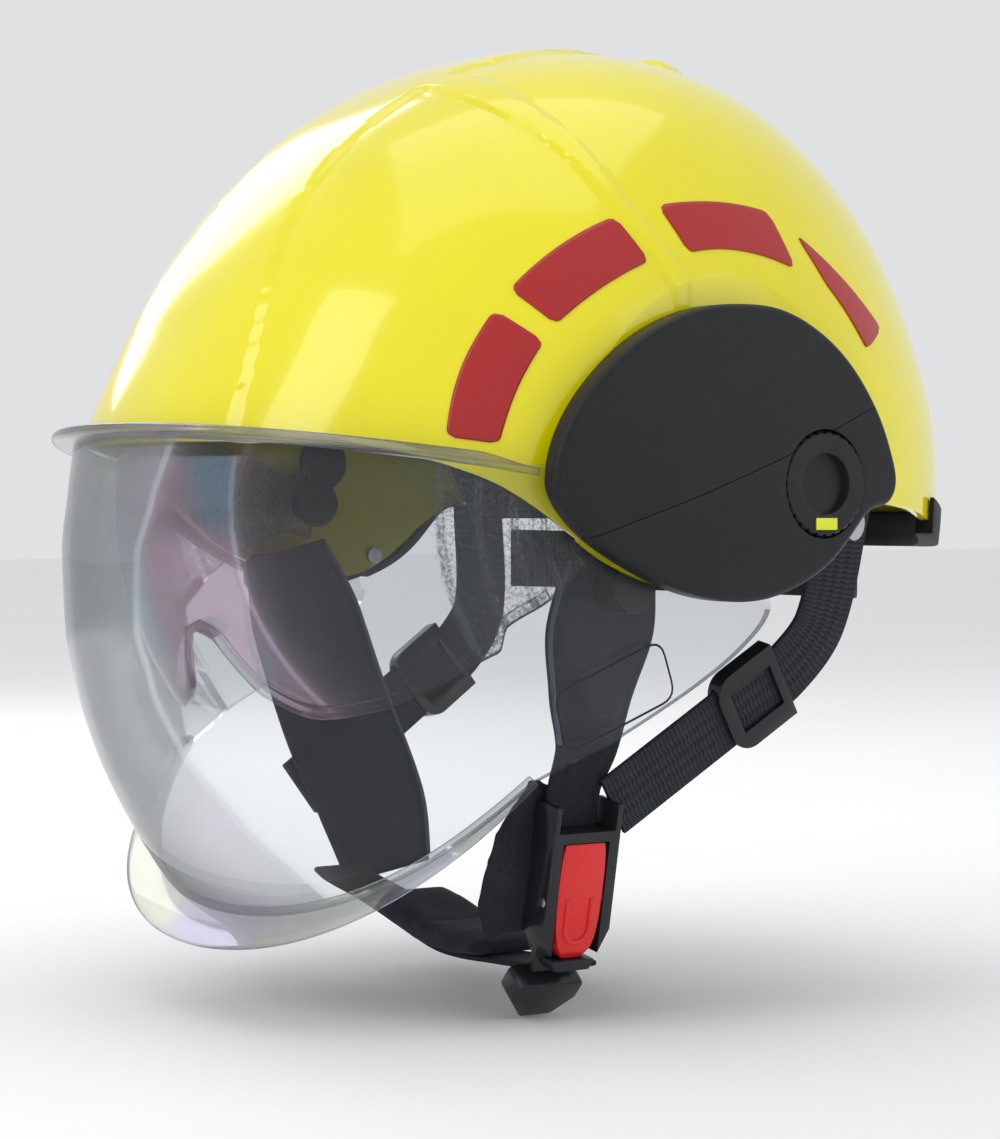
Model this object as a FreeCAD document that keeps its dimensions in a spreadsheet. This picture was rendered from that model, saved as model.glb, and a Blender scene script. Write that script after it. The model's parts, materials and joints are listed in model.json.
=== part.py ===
import FreeCAD, Part
import Sketcher
import functools
import math
import os

# Jet style fire helmet, millimetres, +Z up. The wearer faces -Y and the wearer's left is +X.
# The origin is where the pivot axis of the face shield crosses the middle plane.
# Side views are written as (forward, up): forward is -Y, up is Z, both measured from the pivot.

V = FreeCAD.Vector
doc = FreeCAD.newDocument("jet_fire_helmet")

# Driving dimensions
SIZES = {
    # outer shell
    "shell_half_width": 114.5,
    "shell_flat_half": 108.0,
    "shell_wall": 3.0,
    "plan_power": 2.2,
    "front_power": 2.3,
    "relief_height": 1.2,
    "bump_height": 3.0,
    "edge_trim_wall": 1.6,
    "edge_trim_cover": 7.0,
    "edge_trim_drop": 4.5,
    "seat_gap": 0.1,
    "soft_gap": 0.4,
    "sticker_thickness": 0.4,
    # liner, cradle and headband
    "liner_inner_offset": 22.0,
    "liner_bottom": 7.0,
    "cradle_gap": 2.5,
    "cradle_thickness": 1.4,
    "cradle_width": 22.0,
    "band_front": 92.0,
    "band_rear": 104.0,
    "band_half_width": 82.0,
    "band_thickness": 1.8,
    "band_height": 24.0,
    "band_bottom": 6.0,
    "band_slide_gap": 0.3,
    "clip_width": 9.0,
    "clip_height": 19.0,
    "clip_thickness": 3.9,
    "nape_band_height": 20.0,
    "nape_band_bottom": -19.0,
    "band_front_leg": 16.0,
    "band_rear_leg": 30.0,
    "pad_thickness": 6.0,
    # ratchet at the nape
    "ratchet_width": 58.0,
    "ratchet_height": 22.0,
    "ratchet_depth": 11.0,
    "knob_radius": 13.0,
    "knob_depth": 9.0,
    "knob_grip_radius": 1.6,
    "knob_grips": 18,
    "pinion_radius": 4.6,
    "pinion_length": 6.0,
    "pinion_teeth": 10,
    "shaft_radius": 2.5,
    # pivot of the face shield
    "barrel_radius": 8.0,
    "running_gap": 0.05,
    "boss_flange_radius": 9.0,
    "boss_flange": 2.0,
    "friction_washer_radius": 16.0,
    "friction_washer": 1.2,
    "side_gap": 0.3,
    "spring_washer": 1.0,
    "nut_radius": 11.0,
    "nut_thickness": 2.4,
    # face shield
    "shield_wall": 2.5,
    "shield_lobe_radius": 24.0,
    "shield_lip": 6.0,
    "shield_flange": 14.0,
    # eye visor
    "visor_pivot_forward": 6.0,
    "visor_pivot_up": -14.0,
    "visor_radius": 110.0,
    "visor_half_width": 109.0,
    "visor_flat_half": 101.0,
    "visor_wall": 2.0,
    "visor_power": 2.4,
    "visor_pin_radius": 3.0,
    "visor_knob_radius": 8.0,
    "visor_clearance": 1.5,
    # ear covers
    "cover_wall": 2.2,
    "cover_crown": 123.5,
    "cover_dome_radius": 380.0,
    "cover_edge_round": 2.5,
    "cover_split_gap": 0.25,
    "cover_post_radius": 3.6,
    "cover_screw_radius": 1.4,
    "cover_screw_head": 2.8,
    "cover_screw_head_height": 1.8,
    "cover_screw_reach": 8.0,
    # dial in the ear cover
    "dial_forward": -33.0,
    "dial_up": -8.0,
    "dial_radius": 15.5,
    "dial_socket_gap": 0.6,
    "dial_socket_wall": 1.6,
    "dial_floor": 117.5,
    "dial_depth": 4.6,
    "dial_flutes": 28,
    "dial_flute_radius": 0.8,
    "lamp_bore_radius": 9.0,
    "lamp_bore_depth": 3.4,
    "dial_stub_radius": 3.0,
    # chin straps
    "webbing_width": 20.0,
    "webbing_thickness": 2.0,
    "strap_lean": 0.19,
    "strap_hang_half": 90.0,
    "strap_hang_up": -34.0,
    "pad_strap_thickness": 3.5,
    "anchor_forward": 24.0,
    "anchor_up": -38.0,
    "anchor_radius": 8.0,
    "rivet_radius": 5.0,
    "flap_thickness": 4.0,
    "cup_thickness": 7.0,
    "cup_half_length": 34.0,
    "cup_width": 36.0,
    "nape_strap_reach": 112.0,
    "nape_strap_half_width": 118.0,
    "nape_strap_bottom": -43.0,
    # buckle
    "buckle_width": 24.0,
    "buckle_length": 42.0,
    "buckle_thickness": 11.0,
    "buckle_forward": 27.5,
    "buckle_up": -128.5,
    "lever_width": 16.0,
    "lever_length": 35.0,
    "lever_thickness": 4.5,
    "lever_gap": 0.4,
    "buckle_pin_radius": 1.5,
    "tongue_width": 17.0,
    "tongue_length": 22.0,
    "tongue_thickness": 2.4,
    "prong_height": 8.0,
    "prong_width": 1.8,
    "lever_pin_up": 0.0,
    "lever_inside": 6.2,
    "leaf_thickness": 0.5,
    "block_length": 15.0,
    "block_width": 23.0,
    "block_thickness": 9.0,
    "block_tilt": 32.0,
    # sliders on the webbing
    "slider_length": 24.0,
    "slider_bar": 3.0,
}

sheet = doc.addObject("Spreadsheet::Sheet", "Sizes")
for row, (alias, value) in enumerate(SIZES.items(), start=1):
    sheet.set("A%d" % row, alias)
    sheet.set("B%d" % row, str(value))
    sheet.setAlias("B%d" % row, alias)
doc.recompute()

NODES = {}
LEFT = 1
RIGHT = -1
SIDES = (("left", LEFT), ("right", RIGHT))


def size(alias):
    """Reads one driving dimension from the sheet."""
    return float(getattr(sheet, alias))


def number(expression):
    """Works out an expression on the sheet's dimensions."""
    return float(sheet.evalExpression(str(expression)))


def place(forward, up, across=0.0):
    """A point given as (forward, up) in the side view and its distance across."""
    return V(across, -forward, up)


# Helpers for parametric bodies


def origin_plane(body, role):
    return [feature for feature in body.Origin.OriginFeatures if feature.Role == role][0]


def new_body(label, base=("0", "0", "0"), turn=None):
    """A body whose place is bound to the sheet."""
    body = doc.addObject("PartDesign::Body", label)
    body.Label = label
    rotation = turn if turn else FreeCAD.Rotation()
    body.Placement = FreeCAD.Placement(V(*[number(part) for part in base]), rotation)
    for axis, part in zip("xyz", base):
        body.setExpression("Placement.Base." + axis, str(part))
    NODES[label] = body
    return body


def new_sketch(body, name, role, lift=None):
    """Sketch on an origin plane of its body, or lifted off it by an expression."""
    sketch = body.newObject("Sketcher::SketchObject", body.Label + "_" + name)
    sketch.AttachmentSupport = [(origin_plane(body, role), "")]
    sketch.MapMode = "FlatFace"
    if lift:
        sketch.AttachmentOffset = FreeCAD.Placement(V(0, 0, number(lift)), FreeCAD.Rotation())
        sketch.setExpression("AttachmentOffset.Base.z", lift)
    return sketch


def bind(sketch, kind, expression, *where):
    index = sketch.addConstraint(Sketcher.Constraint(kind, *where, number(expression)))
    sketch.setExpression("Constraints[%d]" % index, str(expression))


def polygon(sketch, corners):
    """Closed outline whose corners are expressions on the sheet."""
    points = [V(number(across), number(along), 0) for across, along in corners]
    first = sketch.GeometryCount
    count = len(points)
    for index in range(count):
        sketch.addGeometry(Part.LineSegment(points[index], points[(index + 1) % count]), False)
    for index in range(count):
        after = first + (index + 1) % count
        sketch.addConstraint(Sketcher.Constraint("Coincident", first + index, 2, after, 1))
    for index, (across, along) in enumerate(corners):
        bind(sketch, "DistanceX", across, -1, 1, first + index, 1)
        bind(sketch, "DistanceY", along, -1, 1, first + index, 1)


def circle(sketch, radius, across="0", along="0"):
    """Circle whose radius and centre are expressions on the sheet."""
    centre = V(number(across), number(along), 0)
    index = sketch.addGeometry(Part.Circle(centre, V(0, 0, 1), number(radius)), False)
    bind(sketch, "Radius", radius, index)
    bind(sketch, "DistanceX", across, -1, 1, index, 3)
    bind(sketch, "DistanceY", along, -1, 1, index, 3)


def rectangle(sketch, low_across, low_along, high_across, high_along):
    polygon(sketch, [(low_across, low_along), (high_across, low_along),
                     (high_across, high_along), (low_across, high_along)])


def pad(body, sketch, length, both=False, back=False):
    feature = body.newObject("PartDesign::Pad", sketch.Label + "_pad")
    feature.Profile = sketch
    feature.Length = number(length)
    feature.setExpression("Length", str(length))
    feature.Midplane = both
    feature.Reversed = back
    return feature


def pocket(body, sketch, length, both=False, back=False):
    """Pocket that has to take material away."""
    doc.recompute()
    before = body.Shape.Volume
    feature = body.newObject("PartDesign::Pocket", sketch.Label + "_pocket")
    feature.Profile = sketch
    feature.Length = number(length)
    feature.setExpression("Length", str(length))
    feature.Midplane = both
    feature.Reversed = back
    doc.recompute()
    if body.Shape.Volume > before - 1e-3:
        raise RuntimeError(sketch.Label + " cuts nothing")
    return feature


def turned(label, profile, base, turn=None):
    """Body of revolution about its own Z axis from (radius, height) corners."""
    body = new_body(label, base, turn)
    sketch = new_sketch(body, "profile", "XZ_Plane")
    polygon(sketch, profile)
    feature = body.newObject("PartDesign::Revolution", label + "_turn")
    feature.Profile = sketch
    feature.ReferenceAxis = (sketch, ["V_Axis"])
    feature.Angle = 360
    return body


def polar(body, feature, role, count):
    pattern = body.newObject("PartDesign::PolarPattern", feature.Label + "_round")
    pattern.Originals = [feature]
    pattern.Axis = (origin_plane(body, role), [""])
    pattern.Angle = 360
    pattern.Occurrences = int(number(count))
    pattern.setExpression("Occurrences", str(count))
    body.Tip = pattern
    return pattern


def shaped(label, shape):
    """Keeps a free-form solid as a sub-part."""
    feature = doc.addObject("Part::Feature", label)
    feature.Label = label
    feature.Shape = shape
    feature.Placement = shape.Placement
    NODES[label] = feature
    return feature


def outward(side):
    """Turn that sends a body's own Z axis to the outside of the given side."""
    return FreeCAD.Rotation(V(0, 1, 0), 90 * side)


# Free-form helpers


def mirrored(shape):
    return shape.mirror(V(0, 0, 0), V(1, 0, 0))


def for_side(shape, side):
    return shape if side == LEFT else mirrored(shape)


def smooth(points, closed=False):
    curve = Part.BSplineCurve()
    curve.interpolate(Points=points, PeriodicFlag=closed)
    return curve.toShape()


def side_wire(points):
    """Straight-sided closed outline in the side view."""
    corners = [place(forward, up) for forward, up in points]
    return Part.makePolygon(corners + corners[:1])


def side_prism(wire, low, high):
    """Solid of a side-view outline between two distances across."""
    moved = wire.copy()
    moved.translate(V(low, 0, 0))
    return Part.Face(moved).extrude(V(high - low, 0, 0))


def disc(radius, low, high, forward=0.0, up=0.0):
    """Round solid across the helmet."""
    return Part.makeCylinder(radius, high - low, place(forward, up, low), V(1, 0, 0))


def block(low_x, low_forward, low_z, high_x, high_forward, high_z):
    corner = V(low_x, -high_forward, low_z)
    return Part.makeBox(high_x - low_x, high_forward - low_forward, high_z - low_z, corner)


def biggest(shape):
    """The largest solid of a cut, clear of slivers."""
    return max(shape.Solids, key=lambda solid: solid.Volume)


# Outer shell

# Distance from the pivot axis to the crown line at each angle, 0 forward and 90 up.
CROWN_LINE = [(-90, 128), (-60, 132), (-30, 134), (-5, 132), (20, 120.5), (40, 117.5), (60, 119.5),
              (80, 124), (100, 131), (120, 137.5), (140, 141), (160, 144), (180, 150), (205, 152),
              (240, 140)]
STATIONS = 7

HALF_WIDTH = size("shell_half_width")
FLAT_HALF = size("shell_flat_half")
WALL = size("shell_wall")
BEYOND = 170.0


def narrowing(x, half_width, power):
    """Share of the middle section's size that is left at x."""
    return (1 - min(abs(x) / half_width, 0.999) ** power) ** (1 / power)


@functools.lru_cache(maxsize=None)
def dome(offset):
    """Closed dome around the head, grown or shrunk from the shell's outer face."""
    half_width = HALF_WIDTH + offset
    flat = FLAT_HALF + offset
    sections = []
    for step in range(-STATIONS, STATIONS + 1):
        x = flat * math.sin(math.pi / 2 * step / STATIONS)
        forward_share = narrowing(x, half_width, size("plan_power"))
        up_share = narrowing(x, half_width, size("front_power"))
        points = []
        for angle, radius in CROWN_LINE:
            reach = radius + offset
            points.append(place(reach * math.cos(math.radians(angle)) * forward_share,
                                reach * math.sin(math.radians(angle)) * up_share, x))
        sections.append(Part.Wire(smooth(points, closed=True)))
    return Part.makeLoft(sections, True, False)


# Lower edge of the shell in the side view, from the brow past the ear to the nape.
SHELL_EDGE = [(BEYOND, 5), (118, 4), (97, 2), (84, -2), (70, -8), (59, -15), (48, -23), (35, -31),
              (19, -37), (2, -40), (-14, -38.5), (-28, -32), (-42, -21), (-56, -14), (-71, -14),
              (-90, -15.5), (-109, -19), (-122, -22), (-138, -23.5), (-BEYOND, -24)]


def above_edge(rise=0.0):
    """Room above the shell's lower edge, moved by the given rise."""
    edge = smooth([place(forward, up + rise) for forward, up in SHELL_EDGE])
    top = [place(-BEYOND, SHELL_EDGE[-1][1] + rise), place(-BEYOND, BEYOND), place(BEYOND, BEYOND),
           place(BEYOND, SHELL_EDGE[0][1] + rise)]
    wire = Part.Wire([edge] + Part.makePolygon(top).Edges)
    return side_prism(wire, -BEYOND, BEYOND)


def plan_prism(outline, low, high):
    """Solid between two heights of an outline given as (across, forward), on both sides."""
    near = [V(across, -forward, low) for across, forward in outline]
    far = [V(-across, -forward, low) for across, forward in reversed(outline)]
    return Part.Face(Part.makePolygon(near + far + near[:1])).extrude(V(0, 0, high - low))


CENTRE_PANEL = [(43, BEYOND), (43, 121), (35, 105), (27, 91), (24, 70), (23, 40), (21, 0), (19, -28)]
REAR_BUMP = [(14, -46), (20, -52), (20, -58), (14, -63)]
REAR_STEP = [(16, -28), (13, -60), (12, -84), (9, -98)]
BAND_REAR_EDGE = [(4, 40), (9, 54), (19, 70), (27, 95), (31, 106), (34, BEYOND)]
BAND_FRONT_EDGE = [(46, BEYOND), (43, 110), (38, 98), (31, 85), (25, 70), (16, 54), (10, 40)]

SHELL_ROOM = above_edge()


def relief_plate(skin, prism):
    return skin.common(prism).Solids


def outer_shell():
    """Thin dome with its raised centre panel, rear step, rear bump and band from ear to ear."""
    plain = dome(0).cut(dome(-WALL)).common(SHELL_ROOM)
    core = dome(-WALL / 2)
    relief = dome(size("relief_height")).cut(core)
    bump = dome(size("bump_height")).cut(core)
    band = side_prism(side_wire(BAND_REAR_EDGE + BAND_FRONT_EDGE), -BEYOND, BEYOND)
    plates = relief_plate(relief, plan_prism(CENTRE_PANEL, -2, BEYOND))
    plates += relief_plate(relief, plan_prism(REAR_STEP, 60, BEYOND))
    plates += relief_plate(relief, band)
    plates += relief_plate(bump, plan_prism(REAR_BUMP, 60, BEYOND))
    shell = plain.fuse(plates).common(SHELL_ROOM)
    holes = [disc(size("barrel_radius"), low, low + 20) for low in (95, -115)]
    for side in (LEFT, RIGHT):
        for forward, up in COVER_POSTS_UPPER + COVER_POSTS_LOWER:
            hole = disc(size("cover_screw_radius") + size("running_gap"), 95, 115, forward, up)
            holes.append(for_side(hole, side))
    return biggest(shell.cut(holes))


# Places of the screw posts inside the ear cover, behind the sweep of the face shield.
COVER_POSTS_UPPER = [(-36, 26), (-12, 35)]
COVER_POSTS_LOWER = [(-51, 6), (-21, -32)]

shaped("outer_shell", outer_shell())


def rear_edge_trim():
    """Rubber channel pressed over the nape edge of the shell."""
    wall = size("edge_trim_wall")
    gap = size("seat_gap")
    start = -108
    skin = dome(wall + gap).cut(dome(-WALL - wall - gap))
    strip = above_edge(-size("edge_trim_drop")).cut(above_edge(size("edge_trim_cover")))
    slot = dome(gap).cut(dome(-WALL - gap)).common(above_edge(-gap))
    behind = block(-BEYOND, -BEYOND - 10, -80, BEYOND, start, 20)
    return biggest(skin.common(strip).common(behind).cut(slot))


shaped("rear_edge_trim", rear_edge_trim())

# Each reflective segment: outer start, middle and end, then inner end, middle and start.
SEGMENTS = [
    [(82, 5), (76, 24), (65, 41), (54, 32), (63, 18), (69, 3)],
    [(60, 47), (44, 60), (26, 69), (19, 56), (35, 48), (50, 37)],
    [(11, 73), (-10, 75), (-30, 73), (-36, 56), (-14, 60.5), (5, 59)],
    [(-40, 67), (-60, 54), (-78, 40), (-67, 33), (-58, 44), (-50, 52)],
]


def segment_wire(points):
    corner = [place(forward, up) for forward, up in points]
    outer = Part.Arc(corner[0], corner[1], corner[2]).toShape()
    end = Part.LineSegment(corner[2], corner[3]).toShape()
    inner = Part.Arc(corner[3], corner[4], corner[5]).toShape()
    start = Part.LineSegment(corner[5], corner[0]).toShape()
    return Part.Wire([outer, end, inner, start])


def reflective_strips():
    skin = dome(size("seat_gap") / 2 + size("sticker_thickness")).cut(dome(size("seat_gap") / 2))
    pieces = []
    for points in SEGMENTS:
        pieces.append(biggest(skin.common(side_prism(segment_wire(points), 60, BEYOND))))
    return Part.makeCompound(pieces)


STRIPS = reflective_strips()
for side_name, side in SIDES:
    shaped("reflective_strips_" + side_name, for_side(STRIPS, side))

# Liner and crown cradle

VISOR_PIVOT = (size("visor_pivot_forward"), size("visor_pivot_up"))
VISOR_RADIUS = size("visor_radius")


def visor_body(inset):
    """Solid of revolution whose skin is the eye visor's, about the visor's own pivot axis."""
    radius = VISOR_RADIUS - inset
    half_width = size("visor_half_width") - inset
    flat = size("visor_flat_half") - inset
    rim = []
    steps = 9
    for step in range(-steps, steps + 1):
        x = flat * math.sin(math.pi / 2 * step / steps)
        reach = radius * narrowing(x, half_width, size("visor_power"))
        rim.append(place(VISOR_PIVOT[0] + reach, VISOR_PIVOT[1], x))
    curve = smooth(rim)
    axis_low = place(VISOR_PIVOT[0], VISOR_PIVOT[1], -flat)
    axis_high = place(VISOR_PIVOT[0], VISOR_PIVOT[1], flat)
    closing = Part.makePolygon([rim[-1], axis_high, axis_low, rim[0]])
    face = Part.Face(Part.Wire([curve] + closing.Edges))
    return face.revolve(axis_low, V(1, 0, 0), 360)


def protective_liner():
    """Foam liner, thinned in front so that the eye visor can park between it and the shell."""
    bottom = size("liner_bottom")
    outer = dome(-WALL - size("soft_gap"))
    inner = dome(-size("liner_inner_offset"))
    room = block(-BEYOND, -BEYOND, bottom, BEYOND, BEYOND, BEYOND)
    body = outer.cut(inner).common(room)
    inset = size("visor_wall") + size("visor_clearance")
    park = block(-BEYOND, 20, -60, BEYOND, BEYOND, BEYOND).cut(visor_body(inset))
    arm = block(96 - inset, -5, -60, BEYOND, 60, 70)
    cuts = [park, arm, mirrored(arm)]
    head_room = FLAT_HALF - WALL - size("cover_screw_head_height") - size("soft_gap")
    for forward, up in COVER_POSTS_UPPER + COVER_POSTS_LOWER:
        pocket_room = disc(size("cover_screw_head") + size("soft_gap"), head_room, FLAT_HALF, forward, up)
        cuts += [pocket_room, mirrored(pocket_room)]
    return biggest(body.cut(cuts))


shaped("protective_liner", protective_liner())

CRADLE_OUT = size("liner_inner_offset") + size("cradle_gap")
BAND_TOP = size("band_bottom") + size("band_height")


def crown_cradle():
    """Two crossed webbing straps over the crown, ending above the headband."""
    skin = dome(-CRADLE_OUT).cut(dome(-CRADLE_OUT - size("cradle_thickness")))
    half = size("cradle_width") / 2
    top = BAND_TOP + 1
    along = block(-half, -BEYOND, top, half, BEYOND, BEYOND)
    across = block(-BEYOND, -half, top, BEYOND, half, BEYOND)
    return skin.common(along).fuse(skin.common(across)).removeSplitter()


shaped("crown_cradle", crown_cradle())


def half_ring(reach, half_width, thickness, low, high, leg, start=0.0):
    """Half of a headband: a half ellipse from the start line to reach, and straight legs up to leg."""
    steps = 10

    def outline(far, wide):
        curve = []
        for step in range(steps + 1):
            angle = math.pi * step / steps
            curve.append(place(start + (far - start) * math.sin(angle), low, wide * math.cos(angle)))
        return smooth(curve)

    inner_reach = reach - math.copysign(thickness, reach)
    inner_half = half_width - thickness
    edges = [outline(reach, half_width), outline(inner_reach, inner_half)]
    for sign in (1, -1):
        corners = [place(start, low, sign * half_width), place(leg, low, sign * half_width),
                   place(leg, low, sign * inner_half), place(start, low, sign * inner_half)]
        edges += Part.makePolygon(corners).Edges
    wire = Part.Wire(Part.__sortEdges__(edges))
    return Part.Face(wire).extrude(V(0, 0, high - low))


BAND_LOW = size("band_bottom")
BAND_FRONT = size("band_front")
BAND_HALF = size("band_half_width")
BAND_WALL = size("band_thickness")
PAD = size("pad_thickness")
shaped("headband_front", half_ring(BAND_FRONT, BAND_HALF, BAND_WALL, BAND_LOW, BAND_TOP,
                                   -size("band_front_leg")))


def brow_pad():
    """Sweat pad along the inside of the front band, crowned towards the forehead."""
    reach = BAND_FRONT - BAND_WALL
    half_width = BAND_HALF - BAND_WALL
    rounds = 2.2
    pad_ring = half_ring(reach, half_width, PAD, BAND_LOW - 2, BAND_TOP - 3, -1)
    window = block(-BAND_HALF * 0.86, 30, -BEYOND, BAND_HALF * 0.86, BEYOND, BEYOND)
    body = biggest(pad_ring.common(window))
    level = [edge for edge in body.Edges if edge.Length > 60 and edge.BoundBox.ZLength < 0.01]
    inner = [edge for edge in level if edge.BoundBox.YMin > -reach + PAD - 0.5]
    return body.makeFillet(rounds, inner)


shaped("brow_pad", brow_pad())


# Rear edges of the clips in the side view.
CLIP_PLACES = (22.0, -43.0)


def cradle_clips():
    """Four clips that hang the headband and the cradle from the liner."""
    clips = []
    inner = BAND_HALF + size("seat_gap")
    outer = inner + size("clip_thickness")
    low = BAND_TOP - size("clip_height") / 2
    high = BAND_TOP + size("clip_height") / 2
    for back in CLIP_PLACES:
        clip = block(inner, back, low, outer, back + size("clip_width"), high)
        clips += [clip, mirrored(clip)]
    liner = NODES["protective_liner"].Shape
    return Part.makeCompound([biggest(clip.cut(liner)) for clip in clips])


shaped("cradle_clips", cradle_clips())

# Nape band and ratchet, which slide forwards together

NAPE_LOW = size("nape_band_bottom")
NAPE_HIGH = NAPE_LOW + size("nape_band_height")
NAPE_REACH = size("band_rear")
NAPE_START = -size("band_rear_leg")
ARM_HALF = BAND_HALF + BAND_WALL + size("band_slide_gap")
ARM_REACH = 14.0
ARM_LOW = BAND_LOW + 2
ARM_TOP = BAND_LOW + 12
KNOB_FACE = NAPE_REACH + size("ratchet_depth")
KNOB_UP = NAPE_LOW + size("nape_band_height") / 2


def headband_rear():
    """Nape band whose raised side arms run outside the front band."""
    ring = half_ring(-NAPE_REACH, ARM_HALF, BAND_WALL, NAPE_LOW, ARM_TOP, ARM_REACH, NAPE_START)
    outline = [(-BEYOND, NAPE_LOW - 1), (-48, NAPE_LOW - 1), (-34, ARM_LOW), (ARM_REACH + 1, ARM_LOW),
               (ARM_REACH + 1, ARM_TOP + 1), (-58, ARM_TOP + 1), (-72, NAPE_HIGH), (-BEYOND, NAPE_HIGH)]
    return biggest(ring.common(side_prism(side_wire(outline), -BEYOND, BEYOND)))


shaped("headband_rear", headband_rear())


def nape_pad():
    """Soft pad inside the nape band."""
    ring = half_ring(-(NAPE_REACH - BAND_WALL), ARM_HALF - BAND_WALL, PAD - 1, NAPE_LOW + 1, NAPE_HIGH - 1, 0,
                     NAPE_START)
    return biggest(ring.common(block(-52, -BEYOND, -BEYOND, 52, -60, BEYOND)))


shaped("nape_pad", nape_pad())


def ratchet_housing():
    """Hollow casing on the nape band around the pinion, open to the knob's shaft."""
    half = size("ratchet_width") / 2
    high = size("ratchet_height") / 2
    casing = block(-half, -KNOB_FACE, KNOB_UP - high, half, -NAPE_REACH + 14, KNOB_UP + high)
    corner = [edge for edge in casing.Edges if edge.BoundBox.YLength > 5]
    casing = casing.makeFillet(high * 0.45, corner)
    band_room = half_ring(-NAPE_REACH, ARM_HALF, 20.0, -60, 60, 0, NAPE_START)
    casing = biggest(casing.cut(band_room))
    hollow_radius = size("pinion_radius") + size("side_gap") * 2
    hollow = disc(hollow_radius, 0, size("pinion_length") + 1)
    shaft = disc(size("shaft_radius") + size("running_gap"), 0.5, 30)
    across_to_back = FreeCAD.Placement(V(0, NAPE_REACH + 1.5, KNOB_UP), FreeCAD.Rotation(V(0, 0, 1), 90))
    for cutter in (hollow, shaft):
        cutter.Placement = across_to_back
    return biggest(casing.cut([hollow, shaft]))


shaped("ratchet_housing", ratchet_housing())

FACING_BACK = FreeCAD.Rotation(V(1, 0, 0), -90)
KNOB_PLACE = ("0", "Sizes.band_rear + Sizes.ratchet_depth + Sizes.side_gap",
              "Sizes.nape_band_bottom + Sizes.nape_band_height / 2")

knob = turned("ratchet_knob", [
    ("0", "-Sizes.side_gap - Sizes.ratchet_depth + Sizes.pinion_length + 2.2"),
    ("Sizes.shaft_radius", "-Sizes.side_gap - Sizes.ratchet_depth + Sizes.pinion_length + 2.2"),
    ("Sizes.shaft_radius", "0"),
    ("Sizes.knob_radius", "0"),
    ("Sizes.knob_radius", "Sizes.knob_depth - 2"),
    ("Sizes.knob_radius - 2", "Sizes.knob_depth"),
    ("0", "Sizes.knob_depth"),
], KNOB_PLACE, FACING_BACK)
grip_sketch = new_sketch(knob, "grip", "XY_Plane")
circle(grip_sketch, "Sizes.knob_grip_radius", "Sizes.knob_radius + Sizes.knob_grip_radius * 0.45")
grip = pocket(knob, grip_sketch, "Sizes.knob_depth * 2", both=True)
polar(knob, grip, "Z_Axis", "Sizes.knob_grips")

pinion = turned("ratchet_pinion", [
    ("0", "0"), ("Sizes.pinion_radius", "0"), ("Sizes.pinion_radius", "Sizes.pinion_length"),
    ("0", "Sizes.pinion_length"),
], ("0", "Sizes.band_rear + 2", KNOB_PLACE[2]), FACING_BACK)
tooth_sketch = new_sketch(pinion, "tooth", "XY_Plane")
circle(tooth_sketch, "Sizes.pinion_radius * 0.16", "Sizes.pinion_radius")
tooth = pocket(pinion, tooth_sketch, "Sizes.pinion_length * 2", both=True)
polar(pinion, tooth, "Z_Axis", "Sizes.pinion_teeth")

# Pivot hardware on both sides, stacked outwards from the shell's flat

STACK = {
    "boss_back": "Sizes.shell_flat_half - Sizes.shell_wall - Sizes.boss_flange",
    "shell_in": "Sizes.shell_flat_half - Sizes.shell_wall",
    "shell_out": "Sizes.shell_flat_half",
    "washer_out": "Sizes.shell_flat_half + Sizes.friction_washer",
}
STACK["shield_in"] = STACK["washer_out"] + " + Sizes.side_gap"
STACK["shield_out"] = STACK["shield_in"] + " + Sizes.shield_wall"
STACK["spring_in"] = STACK["shield_out"] + " + Sizes.side_gap"
STACK["nut_in"] = STACK["spring_in"] + " + Sizes.spring_washer"
STACK["nut_out"] = STACK["nut_in"] + " + Sizes.nut_thickness"


def from_shell(height):
    """Expression for a stack height counted from the shell's flat."""
    return "(" + height + ") - Sizes.shell_flat_half"


for side_name, side in SIDES:
    base = ("%d * Sizes.shell_flat_half" % side, "0", "0")
    out = outward(side)
    turned("pivot_boss_" + side_name, [
        ("0", from_shell(STACK["boss_back"])),
        ("Sizes.boss_flange_radius", from_shell(STACK["boss_back"])),
        ("Sizes.boss_flange_radius", from_shell(STACK["shell_in"])),
        ("Sizes.barrel_radius", from_shell(STACK["shell_in"])),
        ("Sizes.barrel_radius", from_shell(STACK["nut_in"])),
        ("0", from_shell(STACK["nut_in"])),
    ], base, out)
    turned("friction_washer_" + side_name, [
        ("Sizes.barrel_radius", "0"),
        ("Sizes.friction_washer_radius", "0"),
        ("Sizes.friction_washer_radius", "Sizes.friction_washer"),
        ("Sizes.barrel_radius", "Sizes.friction_washer"),
    ], base, out)
    turned("spring_washer_" + side_name, [
        ("Sizes.barrel_radius", from_shell(STACK["spring_in"])),
        ("Sizes.friction_washer_radius - 2", from_shell(STACK["spring_in"])),
        ("Sizes.friction_washer_radius - 2", from_shell(STACK["nut_in"])),
        ("Sizes.barrel_radius", from_shell(STACK["nut_in"])),
    ], base, out)
    turned("pivot_nut_" + side_name, [
        ("0", from_shell(STACK["nut_in"])),
        ("Sizes.nut_radius", from_shell(STACK["nut_in"])),
        ("Sizes.nut_radius", from_shell(STACK["nut_out"]) + " - 0.8"),
        ("Sizes.nut_radius - 0.8", from_shell(STACK["nut_out"])),
        ("0", from_shell(STACK["nut_out"])),
    ], base, out)

# Face shield

SHIELD_OUT = number(STACK["shield_out"])
SHIELD_WALL = size("shield_wall")
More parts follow.
